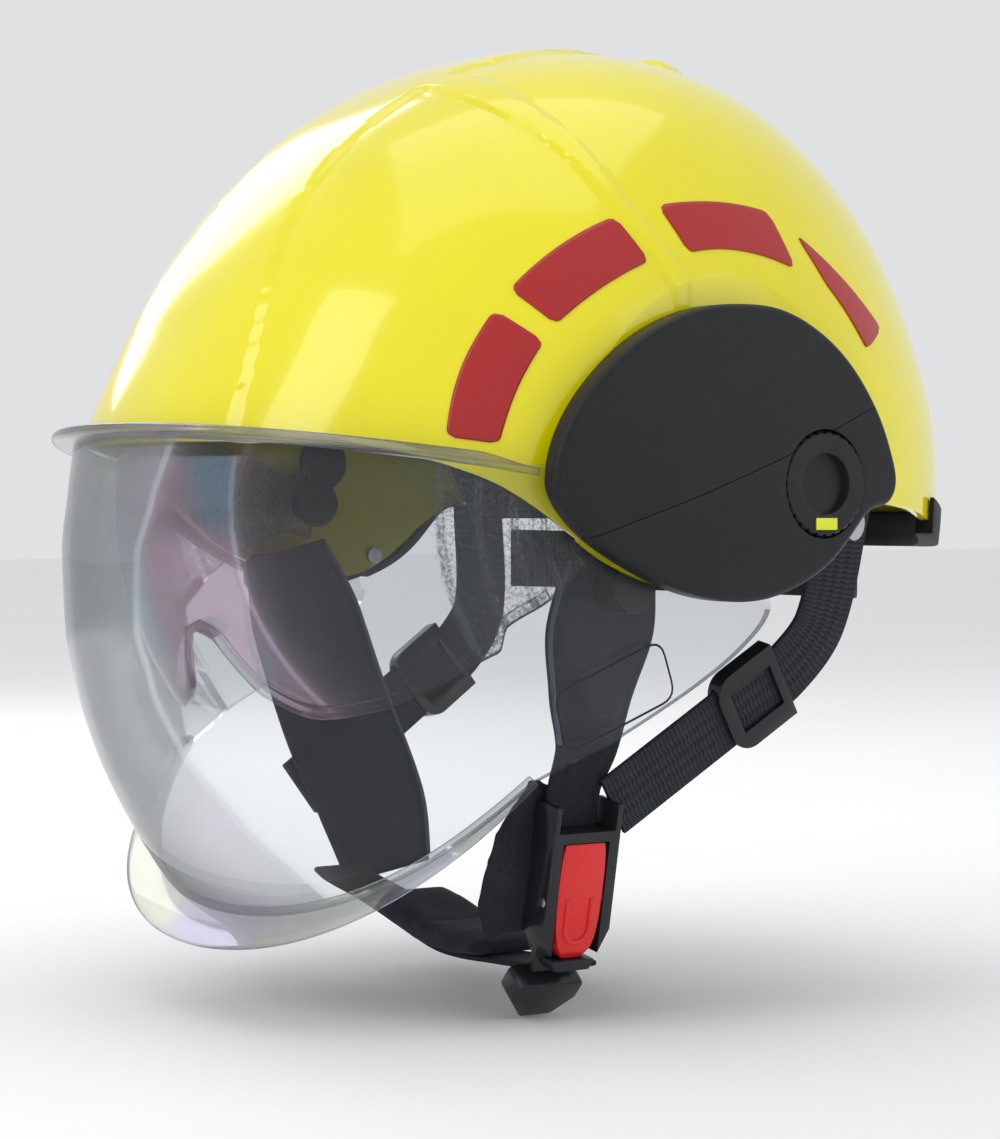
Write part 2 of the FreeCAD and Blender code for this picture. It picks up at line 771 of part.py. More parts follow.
# Height, forward reach on the middle plane.
SHIELD_FRONT = [(30, 128.0), (10, 133.0), (-10, 138.0), (-30, 141.5), (-50, 141.2), (-70, 137.5),
                (-90, 130.5), (-110, 119.5), (-130, 105.0), (-150, 87.0), (-170, 66.0)]
CREASE_TOP = (102.6, 79.0, 1.0)
CREASE_BOTTOM = (99.0, 55.0, -93.0)
LOBE_REACH = 56.0
# The side panels are upright down to this height and lean in below it.
SIDE_LEAN_FROM = -50.0
SIDE_LEAN = 0.14
SIDE_DRAW_IN = 0.6


def shield_section(height, front, inset, spread):
    """Level section of the shield: side panels, a crease on each side and an elliptical front."""
    share = (CREASE_TOP[2] - height) / (CREASE_TOP[2] - CREASE_BOTTOM[2])
    crease_x = CREASE_TOP[0] + (CREASE_BOTTOM[0] - CREASE_TOP[0]) * share - inset
    crease_forward = CREASE_TOP[1] + (CREASE_BOTTOM[1] - CREASE_TOP[1]) * share - inset * 0.35
    below = max(0.0, SIDE_LEAN_FROM - height)
    lobe_x = SHIELD_OUT - SIDE_LEAN * below - inset
    lobe_forward = LOBE_REACH - SIDE_DRAW_IN * below
    reach = front + spread - inset
    wide = crease_x / math.sqrt(1 - (crease_forward / reach) ** 2)
    start = math.asin(crease_forward / reach)
    back = -70.0 - inset * 4
    steps = 10
    curve = []
    for step in range(steps + 1):
        angle = start + (math.pi - 2 * start) * step / steps
        curve.append(V(wide * math.cos(angle), -reach * math.sin(angle), height))
    near = [V(lobe_x, -back, height), V(lobe_x, -lobe_forward, height), curve[0]]
    far = [curve[-1], V(-lobe_x, -lobe_forward, height), V(-lobe_x, -back, height)]
    edges = Part.makePolygon(near).Edges + [smooth(curve)] + Part.makePolygon(far + near[:1]).Edges
    return Part.Wire(edges)


def shield_body(inset, spread=0.0):
    sections = [shield_section(height, front, inset, spread) for height, front in SHIELD_FRONT]
    return Part.makeLoft(sections, True, True)


# Side outline of the shield, from the brow over the pivot and back along the jaw.
SHIELD_TOP = [(BEYOND, 13.2), (60, -4), (40, 5), (20, 22)]
SHIELD_BACK = [(-20.2, -40), (-21, -45), (-9, -58), (6, -67.5), (21, -75.5), (36, -83)]
# Angles about the pivot where the lobe meets the shield's top edge and its straight back edge.
SHIELD_BROW = math.radians(60)
SHIELD_HEEL = math.radians(-117)
CHIN = (CREASE_BOTTOM[1], CREASE_BOTTOM[2])
CHIN_FRONT = (108.0, -146.0)
CHIN_SLOPE = (CHIN_FRONT[1] - CHIN[1]) / (CHIN_FRONT[0] - CHIN[0])
# Where the chin's plane leaves the working space in front.
CHIN_FAR = (BEYOND, CHIN[1] + CHIN_SLOPE * (BEYOND - CHIN[0]))


def shield_room():
    """Room inside the shield's side outline, with its round lobe about the pivot."""
    lobe = size("shield_lobe_radius")
    chord = [(lobe * math.cos(angle), lobe * math.sin(angle)) for angle in (SHIELD_BROW, SHIELD_HEEL)]
    outline = side_wire(SHIELD_TOP + chord + SHIELD_BACK + [CHIN, CHIN_FAR])
    return side_prism(outline, -BEYOND, BEYOND).fuse(disc(lobe, -BEYOND, BEYOND))


def slab(start, end, thickness, lift):
    """Side-view outline of a plate along a line, with its thickness on the lifted side."""
    length = math.hypot(end[0] - start[0], end[1] - start[1])
    step = thickness * lift / length
    across = (-(end[1] - start[1]) * step, (end[0] - start[0]) * step)
    return side_wire([start, end, (end[0] + across[0], end[1] + across[1]),
                      (start[0] + across[0], start[1] + across[1])])


def face_shield():
    inner = shield_body(SHIELD_WALL)
    wall = shield_body(0).cut(inner).common(shield_room())
    lip_slope = (SHIELD_TOP[0][1] - SHIELD_TOP[1][1]) / (SHIELD_TOP[0][0] - SHIELD_TOP[1][0])
    lip_start = (CREASE_TOP[1], SHIELD_TOP[1][1] + lip_slope * (CREASE_TOP[1] - SHIELD_TOP[1][0]))
    lip_room = side_prism(slab(lip_start, SHIELD_TOP[0], SHIELD_WALL, -1), -BEYOND, BEYOND)
    lip = shield_body(0, size("shield_lip")).cut(inner).common(lip_room)
    flange_room = side_prism(slab(CHIN, CHIN_FAR, SHIELD_WALL, 1), -BEYOND, BEYOND)
    flange = shield_body(0, size("shield_flange")).cut(inner).common(flange_room)
    body = wall.fuse([lip, flange])
    bore = size("barrel_radius") + size("running_gap")
    return biggest(body.cut([disc(bore, 90, 130), disc(bore, -130, -90)]))


shaped("face_shield", face_shield())

# Eye visor and its hinges

VISOR_TOP = [(BEYOND, 14), (70, 14), (44, 6), (14, -5)]
VISOR_ARM = [(-4, -14), (6, -24), (16, -24), (34, -29), (52, -42), (66, -55), (66, -BEYOND),
             (BEYOND, -BEYOND)]
# Lower edge of the lens in the front view, (across, up), from the nose outwards.
VISOR_LENS = [(0, -52), (7, -54), (13, -61), (22, -71), (40, -77), (60, -74), (78, -66), (92, -56),
              (104, -48)]


def visor_lens_room():
    near = [V(across, 0, up) for across, up in VISOR_LENS]
    far = [V(-across, 0, up) for across, up in reversed(VISOR_LENS[1:])]
    edge = smooth(far + near)
    corners = [near[-1], V(BEYOND, 0, near[-1].z), V(BEYOND, 0, BEYOND), V(-BEYOND, 0, BEYOND),
               V(-BEYOND, 0, far[0].z), far[0]]
    return Part.Face(Part.Wire([edge] + Part.makePolygon(corners).Edges)).extrude(V(0, -BEYOND, 0))


def eye_visor():
    skin = visor_body(0).cut(visor_body(size("visor_wall")))
    outline = side_prism(side_wire(VISOR_TOP + VISOR_ARM), -BEYOND, BEYOND)
    behind = block(-BEYOND, -BEYOND, -BEYOND, BEYOND, 62, BEYOND)
    body = skin.common(outline).common(visor_lens_room().fuse(behind))
    hole = size("visor_pin_radius") + size("running_gap")
    holes = [disc(hole, low, low + 20, *VISOR_PIVOT) for low in (90, -110)]
    return biggest(body.cut(holes))


shaped("eye_visor", eye_visor())

for side_name, side in SIDES:
    base = ("%d * Sizes.visor_flat_half" % side, "-Sizes.visor_pivot_forward", "Sizes.visor_pivot_up")
    turned("visor_hinge_" + side_name, [
        ("0", "-Sizes.visor_wall - Sizes.side_gap - 2.6"),
        ("Sizes.visor_knob_radius - 1", "-Sizes.visor_wall - Sizes.side_gap - 2.6"),
        ("Sizes.visor_knob_radius", "-Sizes.visor_wall - Sizes.side_gap - 1.6"),
        ("Sizes.visor_knob_radius", "-Sizes.visor_wall - Sizes.side_gap"),
        ("Sizes.visor_pin_radius", "-Sizes.visor_wall - Sizes.side_gap"),
        ("Sizes.visor_pin_radius", "Sizes.side_gap"),
        ("Sizes.visor_pin_radius * 2", "Sizes.side_gap"),
        ("Sizes.visor_pin_radius * 2", "Sizes.shell_flat_half - Sizes.shell_wall - Sizes.visor_flat_half"),
        ("0", "Sizes.shell_flat_half - Sizes.shell_wall - Sizes.visor_flat_half"),
    ], base, outward(side))

# Ear covers

COVER_OUTLINE = [(62, -7), (60, 3), (55, 12.5), (46, 23), (35, 32), (24, 38), (10, 42.5), (-4, 43.8),
                 (-18, 42.8), (-31, 38), (-43, 30), (-52, 20.5), (-59, 10), (-63.5, 0), (-65, -9),
                 (-62, -13.5), (-55, -15.5), (-48, -21), (-39, -30), (-25, -38), (-9, -42), (6, -41.5),
                 (21, -38), (35, -32), (49, -24), (58, -16)]
COVER_SEAM = [(BEYOND, -64), (49, -23), (13, -11), (-16, -0.5), (-43, 10.5), (-BEYOND, 62)]
COVER_FRONT_LOW = SHIELD_OUT + 0.7
COVER_BACK_LOW = FLAT_HALF - 6
SWEEP_START = -118.0
SWEEP_END = 98.0


def cover_outline(inset=0.0):
    points = []
    for forward, up in COVER_OUTLINE:
        reach = math.hypot(forward, up)
        share = (reach - inset) / reach
        points.append(place(forward * share, up * share))
    return Part.Wire(smooth(points, closed=True))


def cover_dome(inset):
    radius = size("cover_dome_radius") - inset
    centre = V(size("cover_crown") - size("cover_dome_radius"), 0, 0)
    return Part.makeSphere(radius, centre, V(1, 0, 0))


def shield_sweep():
    """Pie slice that the shield's side panel moves through under the cover."""
    corners = [(0, 0)]
    for step in range(7):
        angle = math.radians(SWEEP_START + (SWEEP_END - SWEEP_START) * step / 6)
        corners.append((130 * math.cos(angle), 130 * math.sin(angle)))
    return side_prism(side_wire(corners), 80, COVER_FRONT_LOW).fuse(
        disc(size("shield_lobe_radius") + 1, 80, COVER_FRONT_LOW))


def cover_half_room(upper):
    gap = size("cover_split_gap") / 2
    rise = gap if upper else -gap
    edge = [(forward, up + rise) for forward, up in COVER_SEAM]
    far = BEYOND if upper else -BEYOND
    return side_prism(side_wire(edge + [(-BEYOND, far), (BEYOND, far)]), 60, BEYOND)


def ear_cover():
    """One whole ear cover before it is split: domed skin, rim, posts, dial socket and screw holes."""
    wall = size("cover_wall")
    solid = side_prism(cover_outline(), COVER_BACK_LOW, size("cover_crown") + 2).common(cover_dome(0))
    rim = [edge for edge in solid.Edges if edge.BoundBox.XMin > COVER_FRONT_LOW and edge.Length > 100]
    solid = solid.makeFillet(size("cover_edge_round"), rim)
    room = side_prism(cover_outline(wall), COVER_BACK_LOW - 1, size("cover_crown")).common(cover_dome(wall))
    skin = solid.cut(room)
    posts = []
    holes = []
    for forward, up in COVER_POSTS_UPPER + COVER_POSTS_LOWER:
        posts.append(disc(size("cover_post_radius"), COVER_BACK_LOW, size("cover_crown"), forward, up))
        holes.append(disc(size("cover_screw_radius") + size("running_gap"), 95,
                          FLAT_HALF + size("cover_screw_reach") + 1, forward, up))
    centre = (size("dial_forward"), size("dial_up"))
    bowl = size("dial_radius") + size("dial_socket_gap")
    floor = size("dial_floor") - size("side_gap")
    socket_wall = size("dial_socket_wall")
    socket = disc(bowl + socket_wall, floor - socket_wall, size("cover_crown") + 1, *centre)
    body = skin.fuse([post.common(solid) for post in posts] + [socket.common(solid)])
    body = body.cut(disc(bowl, floor, size("cover_crown") + 5, *centre))
    body = body.cut(disc(size("dial_stub_radius") + size("running_gap"), 100, 130, *centre))
    body = body.cut(shield_sweep()).cut(dome(size("seat_gap"))).cut(holes)
    return body


COVER = ear_cover()
COVER_UPPER = biggest(COVER.common(cover_half_room(True)))
COVER_LOWER = biggest(COVER.common(cover_half_room(False)))
for side_name, side in SIDES:
    shaped("cover_upper_" + side_name, for_side(COVER_UPPER, side))
    shaped("cover_lower_" + side_name, for_side(COVER_LOWER, side))


def cover_screws():
    """Screws from inside the shell into the posts of both ear covers."""
    screws = []
    for forward, up in COVER_POSTS_UPPER + COVER_POSTS_LOWER:
        inside = FLAT_HALF - WALL
        head = disc(size("cover_screw_head"), inside - size("cover_screw_head_height"), inside, forward, up)
        shank = disc(size("cover_screw_radius"), inside, FLAT_HALF + size("cover_screw_reach"), forward, up)
        screw = head.fuse(shank).removeSplitter()
        screws += [screw, mirrored(screw)]
    return Part.makeCompound(screws)


shaped("cover_screws", cover_screws())

# Dial with the lamp socket in each ear cover

for side_name, side in SIDES:
    base = ("%d * Sizes.dial_floor" % side, "-Sizes.dial_forward", "Sizes.dial_up")
    dial = turned("lamp_dial_" + side_name, [
        ("0", "-Sizes.side_gap - Sizes.dial_socket_wall - 0.8"),
        ("Sizes.dial_stub_radius", "-Sizes.side_gap - Sizes.dial_socket_wall - 0.8"),
        ("Sizes.dial_stub_radius", "0"),
        ("Sizes.dial_radius", "0"),
        ("Sizes.dial_radius", "Sizes.dial_depth - 1"),
        ("Sizes.dial_radius - 1", "Sizes.dial_depth"),
        ("Sizes.lamp_bore_radius", "Sizes.dial_depth"),
        ("Sizes.lamp_bore_radius", "Sizes.dial_depth - Sizes.lamp_bore_depth"),
        ("0", "Sizes.dial_depth - Sizes.lamp_bore_depth"),
    ], base, outward(side))
    flute_sketch = new_sketch(dial, "flute", "XY_Plane")
    circle(flute_sketch, "Sizes.dial_flute_radius", "Sizes.dial_radius")
    flute = pocket(dial, flute_sketch, "Sizes.dial_depth * 2", both=True)
    polar(dial, flute, "Z_Axis", "Sizes.dial_flutes")
    insert_place = ("%d * (Sizes.dial_floor + Sizes.dial_depth)" % side, base[1], base[2])
    insert = new_body("dial_insert_" + side_name, insert_place, outward(side))
    insert_sketch = new_sketch(insert, "bar", "XY_Plane")
    insert_low = "Sizes.lamp_bore_radius + 1"
    insert_high = "Sizes.dial_radius - 2"
    rectangle(insert_sketch, insert_low, "-4", insert_high, "4")
    pad(insert, insert_sketch, "0.5")

# Chin straps, laid in planes that lean in towards the jaw

LEAN = size("strap_lean")
TILT = math.degrees(math.atan(LEAN))
SLOPE_LENGTH = math.hypot(1, LEAN)
HANG_HALF = size("strap_hang_half")
HANG_UP = size("strap_hang_up")
WEB = size("webbing_width")
STRAP_FACE = size("pad_strap_thickness")
WEB_FACE = STRAP_FACE + size("webbing_thickness")


def along_slope(up):
    """Distance along the leaning plane of a point at the given height."""
    return (up - HANG_UP) * SLOPE_LENGTH


def lean_across(up, outwards=0.0):
    """Distance across the helmet of the leaning plane at the given height."""
    return HANG_HALF + (up - HANG_UP) * LEAN + outwards


def leaning(shape, side, local=FreeCAD.Placement()):
    """Puts a flat piece made at x = 0 into the leaning strap plane of one side."""
    lean = FreeCAD.Placement(V(side * HANG_HALF, 0, HANG_UP), FreeCAD.Rotation(V(0, 1, 0), side * TILT))
    placed = for_side(shape.copy(), side)
    placed.Placement = lean.multiply(local)
    return placed


def ribbon(points, widths, low, high):
    """Flat strap along a line of (forward, up) points, with a width at each point."""
    path = [(forward, along_slope(up)) for forward, up in points]
    near = []
    far = []
    for index, (forward, along) in enumerate(path):
        before = path[max(index - 1, 0)]
        after = path[min(index + 1, len(path) - 1)]
        length = math.hypot(after[0] - before[0], after[1] - before[1])
        half = widths[index] / 2 / length
        across = (-(after[1] - before[1]) * half, (after[0] - before[0]) * half)
        near.append(place(forward + across[0], along + across[1]))
        far.append(place(forward - across[0], along - across[1]))
    edges = [smooth(near), Part.makeLine(near[-1], far[-1]), smooth(far), Part.makeLine(far[0], near[0])]
    return side_prism(Part.Wire(Part.__sortEdges__(edges)), low, high)


BUCKLE_FORWARD = size("buckle_forward")
BUCKLE_UP = size("buckle_up")
BUCKLE_TOP = BUCKLE_UP + size("buckle_length") / 2 / SLOPE_LENGTH
PRONG_TOP = BUCKLE_TOP + size("prong_height")

# Each strap line runs from its upper end to its lower end.
FRONT_STRAP = [(24, -29), (24.5, -50), (25, -68), (24.5, -84), (BUCKLE_FORWARD, PRONG_TOP + 3),
               (BUCKLE_FORWARD, BUCKLE_TOP)]
BETWEEN_PRONGS = WEB - 1
FRONT_WIDTHS = [32, 39, 31, 23, BETWEEN_PRONGS, BETWEEN_PRONGS]
FAR_STRAP = [(22, -29), (16, -55), (8, -86), (-2, -115), (-6, -138)]
FAR_WIDTHS = [32, 43, 44, 42, 34]
# Straight run that the slider moves along, then the bend up behind the ear.
RUN_LOW = (6.0, -97.0)
RUN_HIGH = (-50.0, -61.0)
RUN_SLOPE = (RUN_LOW[1] - RUN_HIGH[1]) / (RUN_LOW[0] - RUN_HIGH[0])
RUN_STATIONS = (24, 6, -13, -32, -46)
REAR_STRAP = [(forward, RUN_LOW[1] + (forward - RUN_LOW[0]) * RUN_SLOPE) for forward in RUN_STATIONS]
REAR_STRAP += [(-57, -49), (-61, -14)]
FLAP = [(29, PRONG_TOP + 4), (33.5, -112), (36, -127), (34, -142)]
FLAP_WIDTHS = [24, 37, 41, 34]

front_left = ribbon(FRONT_STRAP, FRONT_WIDTHS, 0, STRAP_FACE)
front_right = ribbon(FAR_STRAP, FAR_WIDTHS, 0, STRAP_FACE)
shaped("strap_front_left", leaning(front_left, LEFT))
shaped("strap_front_right", leaning(front_right, RIGHT))
rear_strap = ribbon(REAR_STRAP, [WEB] * len(REAR_STRAP), STRAP_FACE, WEB_FACE)
shaped("strap_rear_right", leaning(rear_strap, RIGHT))


def buckle_room():
    """Room of the buckle's body in the flat strap plane, with a small gap round it."""
    half = size("buckle_width") / 2 + size("soft_gap")
    top = along_slope(BUCKLE_UP) + size("buckle_length") / 2 + size("prong_height") + size("soft_gap")
    return block(-1, BUCKLE_FORWARD - half, -BEYOND, 20, BUCKLE_FORWARD + half, top)


shaped("strap_rear_left", leaning(biggest(rear_strap.cut(buckle_room())), LEFT))


def buckle_flap():
    """Padded flap between the buckle and the cheek."""
    flap = ribbon(FLAP, FLAP_WIDTHS, -size("side_gap") - size("flap_thickness"), -size("side_gap"))
    return leaning(flap.makeFillet(size("flap_thickness") * 0.42, flap.Edges), LEFT)


shaped("buckle_flap", buckle_flap())

# Strap anchors under the shell's edge and rivets at the nape ends

for side_name, side in SIDES:
    anchor = new_body("strap_anchor_" + side_name,
                      ("%d * (Sizes.shell_flat_half - Sizes.shell_wall)" % side, "-Sizes.anchor_forward",
                       "Sizes.anchor_up"), outward(side))
    anchor_sketch = new_sketch(anchor, "octagon", "XY_Plane")
    corner = "Sizes.anchor_radius * %.4f"
    octagon = []
    for step in range(8):
        angle = math.radians(22.5 + 45 * step)
        octagon.append((corner % math.cos(angle), corner % math.sin(angle)))
    polygon(anchor_sketch, octagon)
    pad(anchor, anchor_sketch, "Sizes.shell_flat_half - Sizes.shell_wall - Sizes.strap_hang_half - "
        "Sizes.pad_strap_thickness - 1", back=True)


def strap_rivets():
    """Discs that hold the rear straps to the inside of the shell."""
    forward, up = REAR_STRAP[-1][0], REAR_STRAP[-1][1] - 6
    disc_left = disc(size("rivet_radius"), lean_across(up, WEB_FACE) + 1, FLAT_HALF, forward, up)
    disc_left = biggest(disc_left.common(dome(-WALL - size("seat_gap"))))
    return Part.makeCompound([disc_left, mirrored(disc_left)])


shaped("strap_rivets", strap_rivets())


def nape_strap():
    """Webbing round the back of the neck between the two rear straps."""
    low = size("nape_strap_bottom")
    ring = half_ring(-size("nape_strap_reach"), size("nape_strap_half_width"), size("webbing_thickness"),
                     low, low + WEB, 1)
    reach = lean_across(low, STRAP_FACE) - size("side_gap")
    return biggest(ring.common(block(-reach, -BEYOND, -BEYOND, reach, -40, BEYOND)))


shaped("nape_strap", nape_strap())

# Quick-release buckle on the left, in the leaning plane: own X outwards, Y back, Z up along the slope

LEAN_TURN = FreeCAD.Rotation(V(0, 1, 0), TILT)
BUCKLE_PLACE = ("Sizes.strap_hang_half + (Sizes.buckle_up - Sizes.strap_hang_up) * Sizes.strap_lean",
                "-Sizes.buckle_forward", "Sizes.buckle_up")
HALF_WIDE = "Sizes.buckle_width / 2"
HALF_LONG = "Sizes.buckle_length / 2"

housing = new_body("buckle_housing", BUCKLE_PLACE, LEAN_TURN)
outline_sketch = new_sketch(housing, "outline", "YZ_Plane")
polygon(outline_sketch, [
    ("-" + HALF_WIDE, "-" + HALF_LONG + " + 12"),
    ("-" + HALF_WIDE + " + 6", "-" + HALF_LONG),
    (HALF_WIDE + " - 6", "-" + HALF_LONG),
    (HALF_WIDE, "-" + HALF_LONG + " + 12"),
    (HALF_WIDE, HALF_LONG + " + Sizes.prong_height"),
    (HALF_WIDE + " - Sizes.prong_width", HALF_LONG + " + Sizes.prong_height"),
    (HALF_WIDE + " - Sizes.prong_width", HALF_LONG),
    ("-" + HALF_WIDE + " + Sizes.prong_width", HALF_LONG),
    ("-" + HALF_WIDE + " + Sizes.prong_width", HALF_LONG + " + Sizes.prong_height"),
    ("-" + HALF_WIDE, HALF_LONG + " + Sizes.prong_height"),
])
pad(housing, outline_sketch, "Sizes.buckle_thickness")
lever_sketch = new_sketch(housing, "lever_well", "YZ_Plane", "Sizes.buckle_thickness")
LEVER_HALF = "Sizes.lever_width / 2"
LEVER_END = "Sizes.lever_length / 2"
rectangle(lever_sketch, "-%s - Sizes.lever_gap" % LEVER_HALF, "-%s - Sizes.lever_gap" % LEVER_END,
          "%s + Sizes.lever_gap" % LEVER_HALF, "%s + Sizes.lever_gap" % LEVER_END)
pocket(housing, lever_sketch, "Sizes.buckle_thickness - Sizes.lever_inside + 1.2")
slot_sketch = new_sketch(housing, "tongue_slot", "YZ_Plane", "1")
rectangle(slot_sketch, "-Sizes.tongue_width / 2 - Sizes.lever_gap", "-" + HALF_LONG + " - 1",
          "Sizes.tongue_width / 2 + Sizes.lever_gap", "-" + HALF_LONG + " + Sizes.tongue_length + 1")
pocket(housing, slot_sketch, "Sizes.tongue_thickness + 0.4", back=True)
PIN_OUT = "Sizes.lever_inside + Sizes.lever_thickness / 2"
pin_sketch = new_sketch(housing, "pin_hole", "XZ_Plane")
circle(pin_sketch, "Sizes.buckle_pin_radius + Sizes.running_gap", PIN_OUT, "Sizes.lever_pin_up")
pocket(housing, pin_sketch, "Sizes.buckle_width * 2", both=True)

lever = new_body("buckle_lever", BUCKLE_PLACE, LEAN_TURN)
profile_sketch = new_sketch(lever, "profile", "XZ_Plane")
LEVER_OUT = "Sizes.lever_inside + Sizes.lever_thickness"
polygon(profile_sketch, [
    ("Sizes.lever_inside", LEVER_END), (LEVER_OUT, LEVER_END), (LEVER_OUT, "-" + LEVER_END + " + 3"),
    (LEVER_OUT + " - 1.4", "-" + LEVER_END), (LEVER_OUT + " - 2.6", "-" + LEVER_END),
    ("Sizes.lever_inside", "-" + LEVER_END + " + 5"),
])
pad(lever, profile_sketch, "Sizes.lever_width", both=True)
lever_hole = new_sketch(lever, "pin_hole", "XZ_Plane")
circle(lever_hole, "Sizes.buckle_pin_radius + Sizes.running_gap", PIN_OUT, "Sizes.lever_pin_up")
pocket(lever, lever_hole, "Sizes.buckle_width * 2", both=True)

lever_pin = new_body("buckle_pin", BUCKLE_PLACE, LEAN_TURN)
shank_sketch = new_sketch(lever_pin, "shank", "XZ_Plane")
circle(shank_sketch, "Sizes.buckle_pin_radius", PIN_OUT, "Sizes.lever_pin_up")
pad(lever_pin, shank_sketch, "Sizes.buckle_width", both=True)

leaf = new_body("buckle_spring", BUCKLE_PLACE, LEAN_TURN)
leaf_sketch = new_sketch(leaf, "profile", "XZ_Plane")
FLOOR = "Sizes.lever_inside - 1.2"
LEAF_TIP = "Sizes.lever_inside - 0.1"
polygon(leaf_sketch, [
    (FLOOR, "6"), (FLOOR + " + Sizes.leaf_thickness", "6"), (FLOOR + " + Sizes.leaf_thickness", "-3"),
    (LEAF_TIP, "-11"), (LEAF_TIP + " - Sizes.leaf_thickness", "-11"), (FLOOR, "-3.5"),
])
pad(leaf, leaf_sketch, "Sizes.lever_width / 2", both=True)

tongue = new_body("buckle_tongue", BUCKLE_PLACE, LEAN_TURN)
tongue_sketch = new_sketch(tongue, "plate", "YZ_Plane", "1.2")
TONGUE_HALF = "Sizes.tongue_width / 2"
polygon(tongue_sketch, [
    ("-" + TONGUE_HALF, "-" + HALF_LONG + " - 2"),
    (TONGUE_HALF, "-" + HALF_LONG + " - 2"),
    (TONGUE_HALF, "-" + HALF_LONG + " + Sizes.tongue_length - 5"),
    (TONGUE_HALF + " - 4", "-" + HALF_LONG + " + Sizes.tongue_length"),
    ("-" + TONGUE_HALF + " + 4", "-" + HALF_LONG + " + Sizes.tongue_length"),
    ("-" + TONGUE_HALF, "-" + HALF_LONG + " + Sizes.tongue_length - 5"),
])
pad(tongue, tongue_sketch, "Sizes.tongue_thickness")
window_sketch = new_sketch(tongue, "catch", "YZ_Plane", "1.2")
rectangle(window_sketch, "-3.5", "-" + HALF_LONG + " + Sizes.tongue_length - 11",
          "3.5", "-" + HALF_LONG + " + Sizes.tongue_length - 6")
pocket(tongue, window_sketch, "Sizes.tongue_thickness", back=True)

SLOPE = "sqrt(1 + Sizes.strap_lean ^ 2)"
BLOCK_PLACE = (BUCKLE_PLACE[0] + " - " + HALF_LONG + " * Sizes.strap_lean / " + SLOPE,
               "-Sizes.buckle_forward - 1",
               BUCKLE_PLACE[2] + " - " + HALF_LONG + " / " + SLOPE)
chin_block = new_body("chin_slider", BLOCK_PLACE, FreeCAD.Rotation(V(0, 1, 0), TILT + size("block_tilt")))
block_sketch = new_sketch(chin_block, "outline", "YZ_Plane", "-2")
BLOCK_TOP = "-2.5"
BLOCK_HALF = "Sizes.block_width / 2"
polygon(block_sketch, [
    ("-" + BLOCK_HALF, BLOCK_TOP + " - 1.5"), ("-" + BLOCK_HALF + " + 1.5", BLOCK_TOP),
    (BLOCK_HALF + " - 1.5", BLOCK_TOP), (BLOCK_HALF, BLOCK_TOP + " - 1.5"),
    (BLOCK_HALF, BLOCK_TOP + " - Sizes.block_length + 7"),
    (BLOCK_HALF + " - 6", BLOCK_TOP + " - Sizes.block_length"),
    ("-" + BLOCK_HALF + " + 6", BLOCK_TOP + " - Sizes.block_length"),
    ("-" + BLOCK_HALF, BLOCK_TOP + " - Sizes.block_length + 7"),
])
pad(chin_block, block_sketch, "Sizes.block_thickness")

# Chin strap under the jaw and its padded cup

CHIN_STRAP_BACK = 4.0
CHIN_STRAP_FRONT = CHIN_STRAP_BACK + WEB
CHIN_LINE = [(59.2, -152), (36, -153), (4, -153), (-19, -147.5), (-42, -141.5), (-64, -137)]


def cross_ribbon(points, thickness, low_forward, high_forward):
    """Webbing along a line of (across, up) points in the front view."""
    under = [V(across, 0, up - thickness) for across, up in points]
    over = [V(across, 0, up) for across, up in points]
    ends = [Part.makeLine(over[-1], under[-1]), Part.makeLine(under[0], over[0])]
    edges = [smooth(over), smooth(under)] + ends
    face = Part.Face(Part.Wire(Part.__sortEdges__(edges)))
    face.translate(V(0, -low_forward, 0))
    return face.extrude(V(0, low_forward - high_forward, 0))


shaped("chin_strap",
       cross_ribbon(CHIN_LINE, size("webbing_thickness"), CHIN_STRAP_BACK, CHIN_STRAP_FRONT))


def chin_cup():
    """Padded cup on the chin strap, following its curve."""
    thick = size("cup_thickness")
    line = smooth([V(across, 0, up) for across, up in CHIN_LINE])
    base = [point for point in line.discretize(25) if abs(point.x) < size("cup_half_length")]
    lifted = [(point.x, point.z + thick) for point in base]
    mid = (CHIN_STRAP_BACK + CHIN_STRAP_FRONT) / 2
    half_wide = size("cup_width") / 2
    cup = cross_ribbon(lifted, thick - size("soft_gap"), mid - half_wide, mid + half_wide)
    return cup.makeFillet(thick * 0.4, cup.Edges)


shaped("chin_cup", chin_cup())

# Sliders on the rear straps

RUN_FORWARD = RUN_LOW[0] - RUN_HIGH[0]
RUN_ALONG = along_slope(RUN_LOW[1]) - along_slope(RUN_HIGH[1])
RUN_ANGLE = math.degrees(math.atan2(-RUN_ALONG, RUN_FORWARD))
SLIDER_FORWARD = -33.0
SLIDER_MIDDLE = (SLIDER_FORWARD, RUN_LOW[1] + (SLIDER_FORWARD - RUN_LOW[0]) * RUN_SLOPE)


def slider_frame():
    """D-shaped webbing slider with a slot for the strap and an open window, made about its own centre."""
    bar = size("slider_bar")
    half_long = size("slider_length") / 2
    half_wide = WEB / 2 + bar
    gap = size("soft_gap")
    low = STRAP_FACE - gap - bar / 2
    high = WEB_FACE + gap + bar / 2
    frame = block(low, -half_long, -half_wide, high, half_long, half_wide)
    upright = [edge for edge in frame.Edges if edge.BoundBox.XLength > 1 and edge.BoundBox.YMax < 0]
    frame = frame.makeFillet(half_wide * 0.55, upright)
    slot_half = WEB / 2 + gap
    slot = block(STRAP_FACE - gap, -half_long - 1, -slot_half, WEB_FACE + gap, half_long + 1, slot_half)
    window_half = WEB / 2 - bar
    window = block(low - 1, -half_long + bar, -window_half, high + 1, half_long - bar * 1.5, window_half)
    return frame.cut([slot, window])


